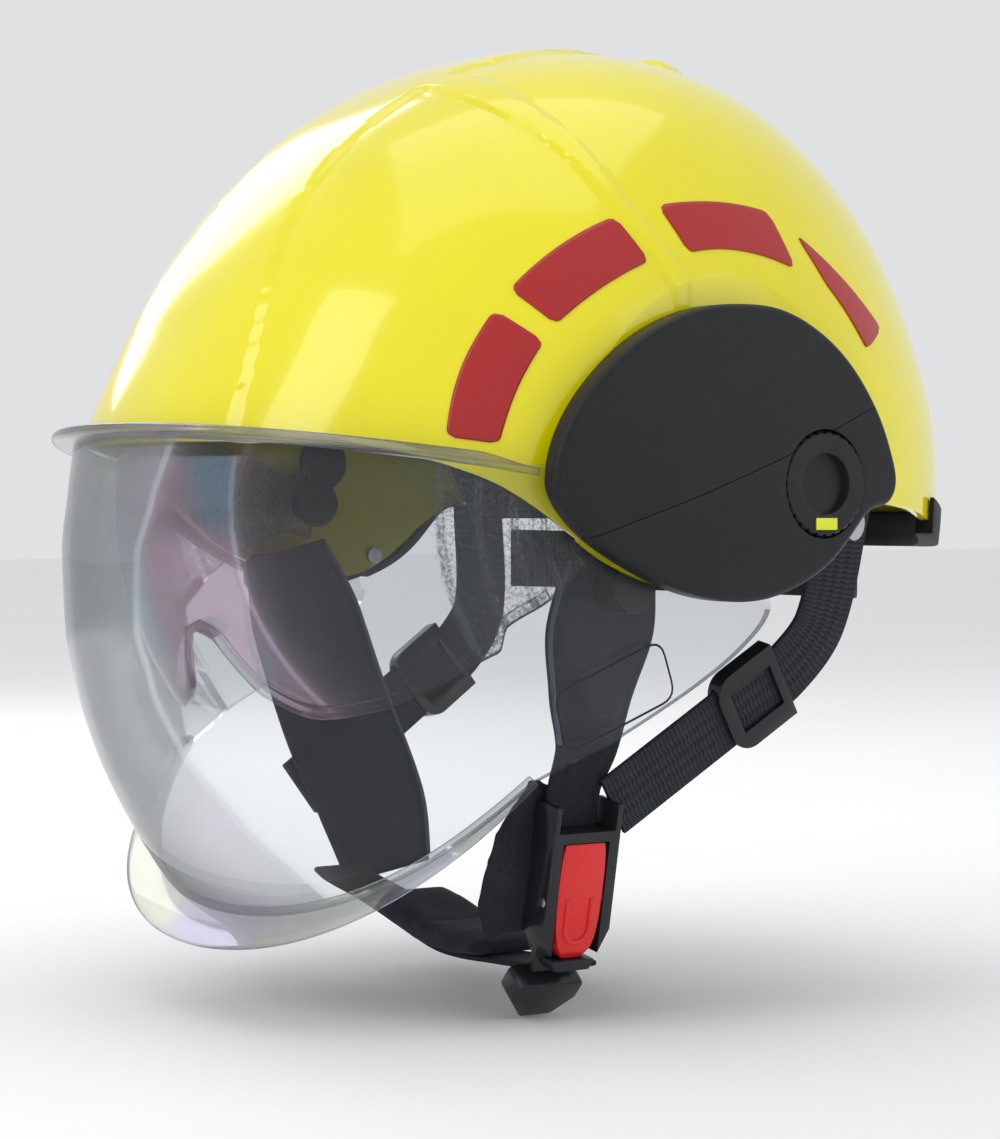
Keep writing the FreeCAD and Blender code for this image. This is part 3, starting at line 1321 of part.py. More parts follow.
slider = slider_frame()
SLIDER_PLACE = FreeCAD.Placement(place(SLIDER_MIDDLE[0], along_slope(SLIDER_MIDDLE[1])),
                                 FreeCAD.Rotation(V(1, 0, 0), RUN_ANGLE))
for side_name, side in SIDES:
    shaped("strap_slider_" + side_name, leaning(slider, side, SLIDER_PLACE))

doc.recompute()


def check_and_write():
    """Refuses failed objects and unsound shapes, then writes one file for each sub-part."""
    for item in doc.Objects:
        if "Invalid" in item.State or "Error" in item.State:
            raise RuntimeError("failed object: " + item.Label)
    for label, node in NODES.items():
        if node.Shape.isNull() or not node.Shape.isValid():
            raise RuntimeError("unsound shape: " + label)
    os.makedirs("parts", exist_ok=True)
    for label, node in NODES.items():
        node.Shape.exportStep("parts/" + label + ".step")


check_and_write()
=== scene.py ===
import json
import logging
import math
from dataclasses import dataclass, field
from enum import Enum
from typing import Callable, Sequence

import bpy
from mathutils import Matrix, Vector


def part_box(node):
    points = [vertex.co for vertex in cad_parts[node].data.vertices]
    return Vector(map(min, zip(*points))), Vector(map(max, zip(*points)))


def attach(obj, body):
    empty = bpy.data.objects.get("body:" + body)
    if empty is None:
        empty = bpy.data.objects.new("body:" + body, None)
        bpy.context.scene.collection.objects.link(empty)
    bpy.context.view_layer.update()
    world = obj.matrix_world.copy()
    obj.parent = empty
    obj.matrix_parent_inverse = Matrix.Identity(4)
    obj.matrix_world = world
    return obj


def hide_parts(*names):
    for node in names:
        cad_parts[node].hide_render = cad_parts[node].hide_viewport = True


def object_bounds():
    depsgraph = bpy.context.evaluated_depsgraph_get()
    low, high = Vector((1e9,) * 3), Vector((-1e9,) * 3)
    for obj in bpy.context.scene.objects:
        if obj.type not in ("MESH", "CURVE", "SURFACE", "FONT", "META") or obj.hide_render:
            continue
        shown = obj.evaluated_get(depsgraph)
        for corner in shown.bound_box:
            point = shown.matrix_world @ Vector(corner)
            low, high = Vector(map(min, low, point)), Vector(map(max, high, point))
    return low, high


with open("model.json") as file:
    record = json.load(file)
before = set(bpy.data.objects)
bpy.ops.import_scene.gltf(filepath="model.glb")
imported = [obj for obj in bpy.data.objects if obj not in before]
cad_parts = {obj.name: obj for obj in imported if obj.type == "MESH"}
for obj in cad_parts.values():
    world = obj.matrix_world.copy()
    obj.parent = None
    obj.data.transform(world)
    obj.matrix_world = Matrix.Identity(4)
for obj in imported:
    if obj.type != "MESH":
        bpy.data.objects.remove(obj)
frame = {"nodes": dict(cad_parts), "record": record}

MM = 0.001
CAD_BOX = [list(corner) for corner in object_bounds()]
log = logging.getLogger("fire_helmet")
Pair = tuple[float, float]
Colour = tuple[float, float, float]


class Side(Enum):
    """Side of the wearer."""

    LEFT = 1
    RIGHT = -1


def spot(across: float, forward: float, up: float) -> Vector:
    """A point in metres from millimetres across, forward and up."""
    return Vector((across, -forward, up)) * MM


def fade(value: float) -> float:
    """Smooth step from 0 to 1 as the value runs from 0 to 1."""
    share = min(max(value, 0.0), 1.0)
    return share * share * (3 - 2 * share)


def halve(inside: Callable[[float], bool], low: float, high: float, rounds: int) -> Pair:
    """Narrows a range whose low end is inside and whose high end isn't.

    Args:
        inside: Whether a value is inside.
        low: First value.
        high: Second value, above or below the first.
        rounds: How often the range is halved.

    Returns:
        The narrowed range.
    """
    for _ in range(rounds):
        middle = (low + high) / 2
        low, high = (middle, high) if inside(middle) else (low, middle)
    return low, high


def weights(t: float) -> tuple[float, float, float, float]:
    """Shares of start, start slope, end and end slope, a step t of 0 to 1 along a smooth span."""
    t2, t3 = t * t, t * t * t
    return 2 * t3 - 3 * t2 + 1, t3 - 2 * t2 + t, 3 * t2 - 2 * t3, t3 - t2


class Track:
    """Smooth curve through pairs, which doesn't overshoot between them."""

    def __init__(self, pairs: Sequence[Pair]) -> None:
        """Keeps the pairs in order and works out a slope at each.

        Args:
            pairs: Key and value of each point.
        """
        ordered = sorted(pairs)
        self.keys = [key for key, _ in ordered]
        self.values = [value for _, value in ordered]
        steps = [(self.values[i + 1] - self.values[i]) / (self.keys[i + 1] - self.keys[i])
                 for i in range(len(ordered) - 1)]
        self.slopes = [steps[0]]
        for before, after in zip(steps, steps[1:]):
            product = before * after
            self.slopes.append(2 * product / (before + after) if product > 0 else 0.0)
        self.slopes.append(steps[-1])

    def __call__(self, key: float) -> float:
        """Value at the key, held at the ends."""
        if key <= self.keys[0]:
            return self.values[0]
        if key >= self.keys[-1]:
            return self.values[-1]
        index = max(i for i, start in enumerate(self.keys) if start <= key)
        index = min(index, len(self.keys) - 2)
        span = self.keys[index + 1] - self.keys[index]
        start, start_slope, end, end_slope = weights((key - self.keys[index]) / span)
        return (start * self.values[index] + start_slope * span * self.slopes[index]
                + end * self.values[index + 1] + end_slope * span * self.slopes[index + 1])


class Line:
    """Smooth open line through points, walked from 0 to 1 at an even pace."""

    def __init__(self, points: Sequence[Sequence[float]]) -> None:
        """Fits one spline for each coordinate.

        Args:
            points: Two or three coordinates for each point.
        """
        self.points = [Vector(point) for point in points]
        pace = [0.0]
        for before, after in zip(self.points, self.points[1:]):
            pace.append(pace[-1] + (after - before).length)
        self.length = pace[-1]
        self.pace = [way / self.length for way in pace]

    def __call__(self, way: float) -> Vector:
        """Point at a share of the way."""
        last = len(self.points) - 2
        index = min(max(i for i, start in enumerate(self.pace) if start <= way + 1e-9), last)
        span = self.pace[index + 1] - self.pace[index]
        start, start_slope, end, end_slope = weights((way - self.pace[index]) / span)
        return (self.points[index] * start + self.slope(index) * span * start_slope
                + self.points[index + 1] * end + self.slope(index + 1) * span * end_slope)

    def slope(self, index: int) -> Vector:
        """Direction of the line at one of its points."""
        low, high = max(index - 1, 0), min(index + 1, len(self.points) - 1)
        return (self.points[high] - self.points[low]) / (self.pace[high] - self.pace[low])

    def heading(self, way: float) -> Vector:
        """Unit direction at a share of the way."""
        step = 0.01
        return (self(min(way + step, 1.0)) - self(max(way - step, 0.0))).normalized()


def soften(points: Sequence[Pair], rounds: int = 3) -> list[Pair]:
    """Cuts the corners of an open line again and again.

    Args:
        points: Corners of the line.
        rounds: How often the corners are cut.

    Returns:
        The softened line, with the same two ends.
    """
    line = list(points)
    for _ in range(rounds):
        cut = [line[0]]
        for (a, b), (c, d) in zip(line, line[1:]):
            cut += [(a * 0.75 + c * 0.25, b * 0.75 + d * 0.25), (a * 0.25 + c * 0.75, b * 0.25 + d * 0.75)]
        line = cut + [line[-1]]
    return line


class Bench:
    """Modelling operators, each on one piece alone."""

    @staticmethod
    def alone(piece: bpy.types.Object) -> None:
        """Selects one piece and makes it active."""
        bpy.ops.object.select_all(action="DESELECT")
        piece.select_set(True)
        bpy.context.view_layer.objects.active = piece

    @staticmethod
    def whole(piece: bpy.types.Object, *steps: Callable[[], object]) -> None:
        """Runs edit-mode operators on all of a piece.

        Args:
            piece: The mesh to edit.
            steps: Operators, each called once with everything selected.
        """
        Bench.alone(piece)
        bpy.ops.object.mode_set(mode="EDIT")
        for step in steps:
            bpy.ops.mesh.select_all(action="SELECT")
            step()
        bpy.ops.object.mode_set(mode="OBJECT")

    @staticmethod
    def wrap(name: str, columns: int, rows: int, place: Callable[[float, float], Vector],
             closed: bool = False) -> bpy.types.Object:
        """Lays a grid over a surface.

        Args:
            name: Name of the piece.
            columns: Faces along the first share.
            rows: Faces along the second share.
            place: Gives the point for the two shares, each 0 to 1.
            closed: Joins first and last column and closes both ends.

        Returns:
            The piece, with shares kept as its UV map.
        """
        bpy.ops.object.select_all(action="DESELECT")
        bpy.ops.mesh.primitive_grid_add(x_subdivisions=columns, y_subdivisions=rows, size=2.0, calc_uvs=True)
        piece = bpy.context.active_object
        piece.name = name
        piece.data.name = name
        for corner in piece.data.vertices:
            corner.co = place(min((corner.co.x + 1) / 2, 1.0), min((corner.co.y + 1) / 2, 1.0))
        steps = [lambda: bpy.ops.mesh.remove_doubles(threshold=1e-6)]
        if closed:
            steps += [lambda: bpy.ops.mesh.fill_holes(sides=0),
                      lambda: bpy.ops.mesh.normals_make_consistent(inside=False)]
        Bench.whole(piece, *steps)
        if not closed:
            Bench.face_out(piece)
        Bench.smooth(piece)
        return piece

    @staticmethod
    def face_out(piece: bpy.types.Object) -> None:
        """Turns a curved sheet so that its faces point away from the head."""
        head = spot(0, 0, -10)
        lean = sum(face.normal.dot(face.center - head) * face.area for face in piece.data.polygons)
        if lean < 0:
            Bench.whole(piece, bpy.ops.mesh.flip_normals)

    @staticmethod
    def smooth(piece: bpy.types.Object, degrees: float = 32.0) -> None:
        """Shades a piece smooth, with edges sharper than the angle kept."""
        Bench.alone(piece)
        bpy.ops.object.shade_smooth_by_angle(angle=math.radians(degrees))

    @staticmethod
    def finish(piece: bpy.types.Object, kind: str, **settings: object) -> None:
        """Adds a modifier with its settings and applies it."""
        Bench.alone(piece)
        modifier = piece.modifiers.new(kind.lower(), kind)
        for key, value in settings.items():
            setattr(modifier, key, value)
        bpy.ops.object.modifier_apply(modifier=modifier.name)

    @staticmethod
    def prism(name: str, outline: Sequence[Pair], half: float) -> bpy.types.Object:
        """Solid of a side-view outline of (forward, up) points, the same on both sides."""
        bpy.ops.object.select_all(action="DESELECT")
        bpy.ops.mesh.primitive_circle_add(vertices=len(outline), radius=1.0, fill_type="NGON")
        piece = bpy.context.active_object
        piece.name = name
        for corner, (forward, up) in zip(piece.data.vertices, outline):
            corner.co = spot(-half, forward, up)
        shift = {"value": (2 * half * MM, 0.0, 0.0)}
        Bench.whole(piece, lambda: bpy.ops.mesh.extrude_region_move(TRANSFORM_OT_translate=shift),
                    lambda: bpy.ops.mesh.normals_make_consistent(inside=False))
        return piece

    @staticmethod
    def keep_inside(piece: bpy.types.Object, cutter: bpy.types.Object) -> None:
        """Keeps only what lies inside the cutter, which is then removed."""
        Bench.finish(piece, "BOOLEAN", operation="INTERSECT", solver="EXACT", object=cutter)
        bpy.data.objects.remove(cutter)

    @staticmethod
    def join(name: str, pieces: Sequence[bpy.types.Object]) -> bpy.types.Object:
        """Joins pieces into the first of them."""
        Bench.alone(pieces[0])
        for piece in pieces:
            piece.select_set(True)
        bpy.ops.object.join()
        pieces[0].name = name
        pieces[0].data.name = name
        return pieces[0]

    @staticmethod
    def scale_uv(piece: bpy.types.Object, wide: float, long: float) -> None:
        """Turns a grid's shares into metres on its UV map."""
        for loop in piece.data.uv_layers.active.data:
            loop.uv = (loop.uv.x * wide * MM, loop.uv.y * long * MM)

    @staticmethod
    def bar(name: str, way: Callable[[float], tuple[Vector, Vector, Vector]],
            profile: Callable[[float, float], Pair], columns: int, rows: int,
            loop: bool = False) -> bpy.types.Object:
        """Closed bar with one profile carried along a way.

        Args:
            name: Name of the piece.
            way: Gives a point in metres and the two unit directions of the profile there.
            profile: Gives the two distances in millimetres at a turn of 0 to 1 and a share of the way.
            columns: Faces round the profile.
            rows: Faces along the way.
            loop: The way ends where it starts.

        Returns:
            The closed piece.
        """

        def place(turn: float, share: float) -> Vector:
            """Point of the bar's skin."""
            base, first, second = way(share % 1.0 if loop else share)
            a, b = profile(turn % 1.0, share)
            return base + (first * a + second * b) * MM

        return Bench.wrap(name, columns, rows, place, closed=True)


def pill(half_wide: float, half_high: float, power: float = 4.0) -> Callable[[float, float], Pair]:
    """Rounded flat profile about its own centre."""

    def profile(turn: float, _share: float) -> Pair:
        """Point of the profile at a turn."""
        angle = 2 * math.pi * turn
        c, s = math.cos(angle), math.sin(angle)
        return (half_wide * math.copysign(abs(c) ** (2 / power), c),
                half_high * math.copysign(abs(s) ** (2 / power), s))

    return profile


class Value:
    """A shader socket that takes part in arithmetic."""

    def __init__(self, graph: "Graph", socket: bpy.types.NodeSocket) -> None:
        """Keeps the socket and the graph that it belongs to."""
        self.graph = graph
        self.socket = socket

    def math(self, operation: str, *others: "Value | float") -> "Value":
        """Adds a Math node with this socket as its first input."""
        values = dict(enumerate((self,) + others))
        return self.graph.node("ShaderNodeMath", {"operation": operation}, values)

    def swapped(self, operation: str, other: "Value | float") -> "Value":
        """Adds a Math node with this socket as its second input."""
        return self.graph.node("ShaderNodeMath", {"operation": operation}, {0: other, 1: self})

    def __add__(self, other: "Value | float") -> "Value":
        """Sum."""
        return self.math("ADD", other)

    __radd__ = __add__

    def __sub__(self, other: "Value | float") -> "Value":
        """Difference."""
        return self.math("SUBTRACT", other)

    def __rsub__(self, other: "Value | float") -> "Value":
        """Difference from a number."""
        return self.swapped("SUBTRACT", other)

    def __mul__(self, other: "Value | float") -> "Value":
        """Product."""
        return self.math("MULTIPLY", other)

    __rmul__ = __mul__

    def __truediv__(self, other: "Value | float") -> "Value":
        """Quotient."""
        return self.math("DIVIDE", other)

    def __rtruediv__(self, other: "Value | float") -> "Value":
        """Quotient of a number."""
        return self.swapped("DIVIDE", other)

    def __pow__(self, other: "Value | float") -> "Value":
        """Power."""
        return self.math("POWER", other)

    def ramp(self, low: float, high: float, start: float = 0.0, end: float = 1.0) -> "Value":
        """Maps low..high to start..end and holds the ends."""
        settings = {"clamp": True, "interpolation_type": "SMOOTHSTEP"}
        return self.graph.node("ShaderNodeMapRange", settings, {0: self, 1: low, 2: high, 3: start, 4: end})


class Graph:
    """Node tree of one material."""

    def __init__(self, name: str) -> None:
        """Starts an empty material."""
        self.material = bpy.data.materials.new(name)
        self.material.use_nodes = True
        self.tree = self.material.node_tree
        self.tree.nodes.clear()

    def node(self, kind: str, settings: dict | None = None, values: dict | None = None,
             out: int | str = 0) -> Value:
        """Adds a node.

        Args:
            kind: Type of the node.
            settings: Attributes, set first; stops fill a colour ramp.
            values: Numbers, colours or sockets for its inputs.
            out: Which output is handed back.

        Returns:
            The chosen output.
        """
        made = self.tree.nodes.new(kind)
        for key, value in (settings or {}).items():
            if key == "stops":
                for index, (place, colour) in enumerate(value):
                    held = made.color_ramp.elements
                    stop = held[index] if index < 2 else held.new(place)
                    stop.position = place
                    stop.color = (*colour, 1.0)
            else:
                setattr(made, key, value)
        for key, value in (values or {}).items():
            if isinstance(value, Value):
                self.tree.links.new(value.socket, made.inputs[key])
            elif isinstance(value, tuple) and len(value) == 3 and made.inputs[key].type == "RGBA":
                made.inputs[key].default_value = (*value, 1.0)
            else:
                made.inputs[key].default_value = value
        return Value(self, made.outputs[out])

    def place(self, source: str = "Object", scale: tuple = (1, 1, 1), shift: tuple = (0, 0, 0)) -> Value:
        """Coordinates of the surface, shifted and scaled."""
        start = self.node("ShaderNodeTexCoord", out=source)
        return self.node("ShaderNodeMapping", {}, {"Vector": start, "Scale": scale, "Location": shift})

    def axes(self, where: Value) -> tuple[Value, Value, Value]:
        """Splits a vector."""
        made = self.node("ShaderNodeSeparateXYZ", {}, {0: where})
        outputs = made.socket.node.outputs
        return tuple(Value(self, outputs[index]) for index in range(3))

    def noise(self, where: Value, scale: float, detail: float = 2.0, rough: float = 0.5) -> Value:
        """Cloudy pattern."""
        values = {"Vector": where, "Scale": scale, "Detail": detail, "Roughness": rough}
        return self.node("ShaderNodeTexNoise", {}, values)

    def cells(self, where: Value, scale: float, feature: str = "F1") -> Value:
        """Distance pattern of scattered cells."""
        return self.node("ShaderNodeTexVoronoi", {"feature": feature}, {"Vector": where, "Scale": scale})

    def mix(self, share: "Value | float", low: "Colour | Value", high: "Colour | Value") -> Value:
        """Mixes two colours."""
        return self.node("ShaderNodeMix", {"data_type": "RGBA"}, {0: share, 6: low, 7: high}, out=2)

    def bump(self, height: Value, distance: float, strength: float = 1.0) -> Value:
        """Turns a height pattern into a normal, with its depth in millimetres."""
        values = {"Height": height, "Distance": distance * MM, "Strength": strength}
        return self.node("ShaderNodeBump", {}, values)

    def skin(self, **values: object) -> Value:
        """Principled surface with the given inputs, named with _ for a space."""
        named = {key.replace("_", " "): value for key, value in values.items()}
        return self.node("ShaderNodeBsdfPrincipled", {}, named)

    def close(self, surface: Value) -> bpy.types.Material:
        """Sends a surface to the output."""
        end = self.tree.nodes.new("ShaderNodeOutputMaterial")
        self.tree.links.new(surface.socket, end.inputs["Surface"])
        return self.material


@dataclass(frozen=True)
class Finish:
    """A named finish, whose nodes a subclass gives."""

    name: str

    def surface(self, g: Graph) -> Value:
        """Nodes of the finish."""
        raise NotImplementedError

    def build(self) -> bpy.types.Material:
        """Makes the material."""
        g = Graph(self.name)
        return g.close(self.surface(g))


@dataclass(frozen=True)
class Plastic(Finish):
    """Moulded plastic with a fine grain and faint marks of use."""

    colour: Colour
    roughness: float
    grain: float = 0.02
    grain_size: float = 1100.0
    coat: float = 0.0
    lift: float = 0.35
    gleam: float = 0.25

    def surface(self, g: Graph) -> Value:
        """Nodes of the finish."""
        where = g.place()
        cloud = g.noise(where, 28.0, 4.0)
        grain = g.noise(where, self.grain_size, 2.0, 0.6)
        scuff = g.noise(g.place(scale=(1, 1, 7)), 60.0, 5.0, 0.7).ramp(0.6, 0.78)
        light = tuple(min(c * (1 + self.lift) + 0.004, 1.0) for c in self.colour)
        colour = g.mix((cloud * 0.6 + grain * 0.3).ramp(0.3, 0.75), self.colour, light)
        rough = cloud.ramp(0.3, 0.7, self.roughness - 0.05, self.roughness + 0.06) + scuff * 0.06
        return g.skin(Base_Color=colour, Roughness=rough, Coat_Weight=self.coat, Coat_Roughness=0.12,
                      Specular_IOR_Level=self.gleam, Normal=g.bump(grain, self.grain))


@dataclass(frozen=True)
class ShellGloss(Finish):
    """Gloss fluorescent shell with a trace of orange peel, hairline marks and a faint painted glow."""

    colour: Colour = (0.83, 0.75, 0.0)
    deep: Colour = (0.76, 0.67, 0.0)

    def surface(self, g: Graph) -> Value:
        """Nodes of the finish."""
        where = g.place()
        cloud = g.noise(where, 9.0, 3.0)
        peel = g.noise(where, 230.0, 2.0)
        marks = g.noise(g.place(scale=(3, 1, 16)), 26.0, 6.0, 0.75).ramp(0.68, 0.8)
        specks = g.cells(where, 160.0).ramp(0.03, 0.0)
        colour = g.mix(cloud.ramp(0.3, 0.7), self.deep, self.colour)
        colour = g.mix(specks * 0.25, colour, (0.45, 0.47, 0.02))
        rough = cloud.ramp(0.3, 0.7, 0.13, 0.2) + marks * 0.14
        # Emission in the shell's colour at strength 0.05 is a painted glow that brightens the shell under any
        # light.
        return g.skin(Base_Color=colour, Roughness=rough, Coat_Weight=0.5, Coat_Roughness=0.04,
                      Emission_Color=colour, Emission_Strength=0.05, Normal=g.bump(peel, 0.01))


@dataclass(frozen=True)
class PrismFilm(Finish):
    """Retroreflective film with its fine cell pattern under a clear face."""

    colour: Colour = (0.44, 0.004, 0.005)
    deep: Colour = (0.36, 0.003, 0.004)

    def surface(self, g: Graph) -> Value:
        """Nodes of the finish."""
        where = g.place("UV")
        across, along, _ = g.axes(where)
        honeycomb = g.cells(where, 900.0, "DISTANCE_TO_EDGE").ramp(0.01, 0.06)
        prism = ((across * 7400.0).math("SINE") * (along * 7400.0).math("SINE")).ramp(-1, 1)
        colour = g.mix(honeycomb * 0.3 + prism * 0.7, self.deep, self.colour)
        rough = prism.ramp(0, 1, 0.3, 0.42)
        return g.skin(Base_Color=colour, Roughness=rough, Coat_Weight=0.25, Coat_Roughness=0.2,
                      Normal=g.bump(honeycomb, 0.012))


@dataclass(frozen=True)
class Webbing(Finish):
    """Woven tape: ribs across, yarns along and a denser edge, on a UV map in metres."""

    colour: Colour = (0.012, 0.013, 0.017)
    light: Colour = (0.045, 0.05, 0.062)
    rib: float = 1.5

    def surface(self, g: Graph) -> Value:
        """Nodes of the finish."""
        across, along, _ = g.axes(g.place("UV"))
        turn = 2 * math.pi / (self.rib * MM)
        yarn = (across * turn * 1.6).math("SINE")
        rib = (along * turn + yarn * 0.9).math("SINE")
        weave = (rib * 0.65 + yarn * 0.35).ramp(-1, 1)
        fuzz = g.noise(g.place(), 2600.0, 3.0, 0.7)
        dust = g.noise(g.place(), 70.0, 4.0).ramp(0.5, 0.75)
        colour = g.mix(weave * 0.55 + fuzz * 0.3 + dust * 0.15, self.colour, self.light)
        return g.skin(Base_Color=colour, Roughness=weave.ramp(0, 1, 0.92, 0.75), Sheen_Weight=0.06,
                      Sheen_Roughness=0.5, Specular_IOR_Level=0.2,
                      Normal=g.bump(weave + fuzz * 0.4, 0.22))


@dataclass(frozen=True)
class PadCloth(Finish):
    """Soft knit over foam, with small pulls and lint."""

    colour: Colour = (0.010, 0.011, 0.015)
    light: Colour = (0.04, 0.044, 0.056)

    def surface(self, g: Graph) -> Value:
        """Nodes of the finish."""
        where = g.place()
        knit = g.cells(where, 1500.0).ramp(0.0, 0.7)
        pull = g.noise(g.place(scale=(1, 1, 0.35)), 90.0, 4.0, 0.6)
        lint = g.noise(where, 900.0, 2.0, 0.8).ramp(0.66, 0.75)
        colour = g.mix(knit * 0.45 + pull.ramp(0.35, 0.8) * 0.45 + lint * 0.2, self.colour, self.light)
        return g.skin(Base_Color=colour, Roughness=0.88, Sheen_Weight=0.06, Sheen_Roughness=0.45,
                      Specular_IOR_Level=0.2,
                      Normal=g.bump(knit * 0.35 + pull, 0.3))


@dataclass(frozen=True)
class Clear(Finish):
    """Thin clear plastic: see-through face on, brighter at a glance, with haze and fine wipe marks."""

    body: Colour = (0.10, 0.11, 0.115)
    veil: float = 0.06
    rim: float = 0.85
    mirror: float = 0.6
    tones: tuple[Colour, Colour] = ((0.86, 0.88, 0.9), (0.95, 0.92, 0.98))
    frost_about: tuple[float, float] | None = None
    frost_radius: float = 0.0

    def surface(self, g: Graph) -> Value:
        """Nodes of the finish."""
        where = g.place()
        _, y, z = g.axes(where)
        wipes = g.noise(g.place(scale=(1, 1, 9)), 34.0, 5.0, 0.75).ramp(0.62, 0.85)
        smear = g.noise(where, 14.0, 3.0).ramp(0.4, 0.8)
        glance = g.node("ShaderNodeLayerWeight", {}, {"Blend": 0.22}, out="Fresnel")
        edge = g.node("ShaderNodeLayerWeight", {}, {"Blend": 0.5}, out="Facing")
        tint = (edge ** 3.5) * self.rim + self.veil + smear * 0.03 + wipes * 0.05
        hue = g.noise(g.place(scale=(1, 1, 0.6)), 17.0, 2.0).ramp(0.42, 0.58)
        body = g.mix(smear, self.body, tuple(c * 1.5 for c in self.body))
        if self.frost_about:
            away = ((y + self.frost_about[0] * MM) ** 2 + (z - self.frost_about[1] * MM) ** 2).math("SQRT")
            steps = ((away * (2 * math.pi / 0.009)).math("SINE")).ramp(0.88, 1.0)
            speckle = g.noise(where, 900.0, 3.0, 0.7).ramp(0.45, 0.62)
            frost = away.ramp((self.frost_radius + 1) * MM, (self.frost_radius - 2) * MM)
            tint = (tint + frost * (speckle * 0.34 + steps * 0.3)).ramp(0, 1)
        clear = g.node("ShaderNodeBsdfTransparent", {}, {"Color": (0.965, 0.975, 0.98)})
        solid = g.skin(Base_Color=body, Roughness=0.35, Coat_Weight=0.3)
        gloss = g.skin(Base_Color=g.mix(hue, *self.tones), Metallic=1.0,
                       Roughness=wipes.ramp(0, 1, 0.02, 0.12))
        veiled = g.node("ShaderNodeMixShader", {}, {0: tint, 1: clear, 2: solid})
        shine = (glance * self.mirror).math("MINIMUM", 0.95)
        return g.node("ShaderNodeMixShader", {}, {0: shine, 1: veiled, 2: gloss})


@dataclass(frozen=True)
class Steel(Finish):
    """Plated steel with a fine brushed line."""

    colour: Colour = (0.55, 0.56, 0.58)

    def surface(self, g: Graph) -> Value:
        """Nodes of the finish."""
        brush = g.noise(g.place(scale=(1, 1, 30)), 300.0, 3.0)
        rough = brush.ramp(0.3, 0.7, 0.22, 0.42)
        colour = g.mix(brush, tuple(c * 0.8 for c in self.colour), self.colour)
        return g.skin(Base_Color=colour, Metallic=1.0, Roughness=rough, Normal=g.bump(brush, 0.01))


@dataclass(frozen=True)
class Foam(Finish):
    """Moulded bead foam: rounded cells pressed flat at the skin."""

    colour: Colour = (0.022, 0.022, 0.026)

    def surface(self, g: Graph) -> Value:
        """Nodes of the finish."""
        beads = g.cells(g.place(), 330.0)
        colour = g.mix(beads.ramp(0.2, 0.8), tuple(c * 1.7 for c in self.colour), self.colour)
        return g.skin(Base_Color=colour, Roughness=beads.ramp(0.1, 0.8, 0.6, 0.85),
                      Normal=g.bump(1 - beads, 0.25))


FINISHES = {
    "shell_yellow": ShellGloss("shell_yellow_gloss"),
    "reflective_red": PrismFilm("reflective_red_film"),
    "trim_rubber": Plastic("nape_trim_rubber", (0.012, 0.012, 0.013), 0.62, 0.06, 800.0),
    "liner_foam": Foam("liner_bead_foam"),
    "webbing_black": Webbing("black_webbing"),
    "harness_plastic": Plastic("harness_nylon", (0.018, 0.018, 0.020), 0.48),
    "pad_fabric": PadCloth("pad_knit"),
    "strap_padded": PadCloth("strap_knit", (0.009, 0.010, 0.013), (0.034, 0.037, 0.046)),
    "gear_plastic": Plastic("gear_acetal", (0.72, 0.72, 0.69), 0.38),
    "hardware_black": Plastic("hardware_nylon", (0.014, 0.014, 0.016), 0.42),
    "washer_plastic": Plastic("washer_acetal", (0.76, 0.76, 0.73), 0.35),
    "steel": Steel("plated_steel"),
    "shield_clear": Clear("shield_polycarbonate"),
    "visor_clear": Clear("visor_polycarbonate", veil=0.09, rim=0.9, frost_about=(6.0, -14.0),
                         frost_radius=76.0, tones=((0.98, 0.72, 0.85), (0.66, 0.84, 1.0))),
    "visor_knob": Plastic("visor_knob_nylon", (0.014, 0.014, 0.016), 0.36),
    "cover_grey": Plastic("cover_grain", (0.0105, 0.0108, 0.0125), 0.44, 0.035, 1500.0, lift=0.5),
    "dial_grey": Plastic("dial_satin", (0.014, 0.014, 0.016), 0.36, 0.015, 1700.0),
    "insert_yellow": Plastic("insert_gloss", (0.72, 0.80, 0.02), 0.22, 0.004, 900.0, coat=0.4, lift=0.1),
    "buckle_black": Plastic("buckle_acetal", (0.013, 0.014, 0.017), 0.3, 0.012, 1300.0, coat=0.25),
    "piping_blue": Plastic("piping_cord", (0.07, 0.09, 0.12), 0.6, 0.05, 2200.0),
    # Darker olive copy of the shell yellow for the shell's inner faces: painted shade inside the dome.
    "painted_shade_inner": Plastic("shell_inner_face", (0.30, 0.28, 0.004), 0.55, 0.03, 700.0),
    "shield_edge": Clear("shield_edge_polycarbonate", veil=0.13, rim=1.4, mirror=0.45,
                         tones=((0.96, 0.93, 0.78), (0.80, 0.74, 0.98))),
    "lever_red": Plastic("lever_gloss", (0.72, 0.012, 0.012), 0.24, 0.006, 1000.0, coat=0.5, lift=0.15),
}


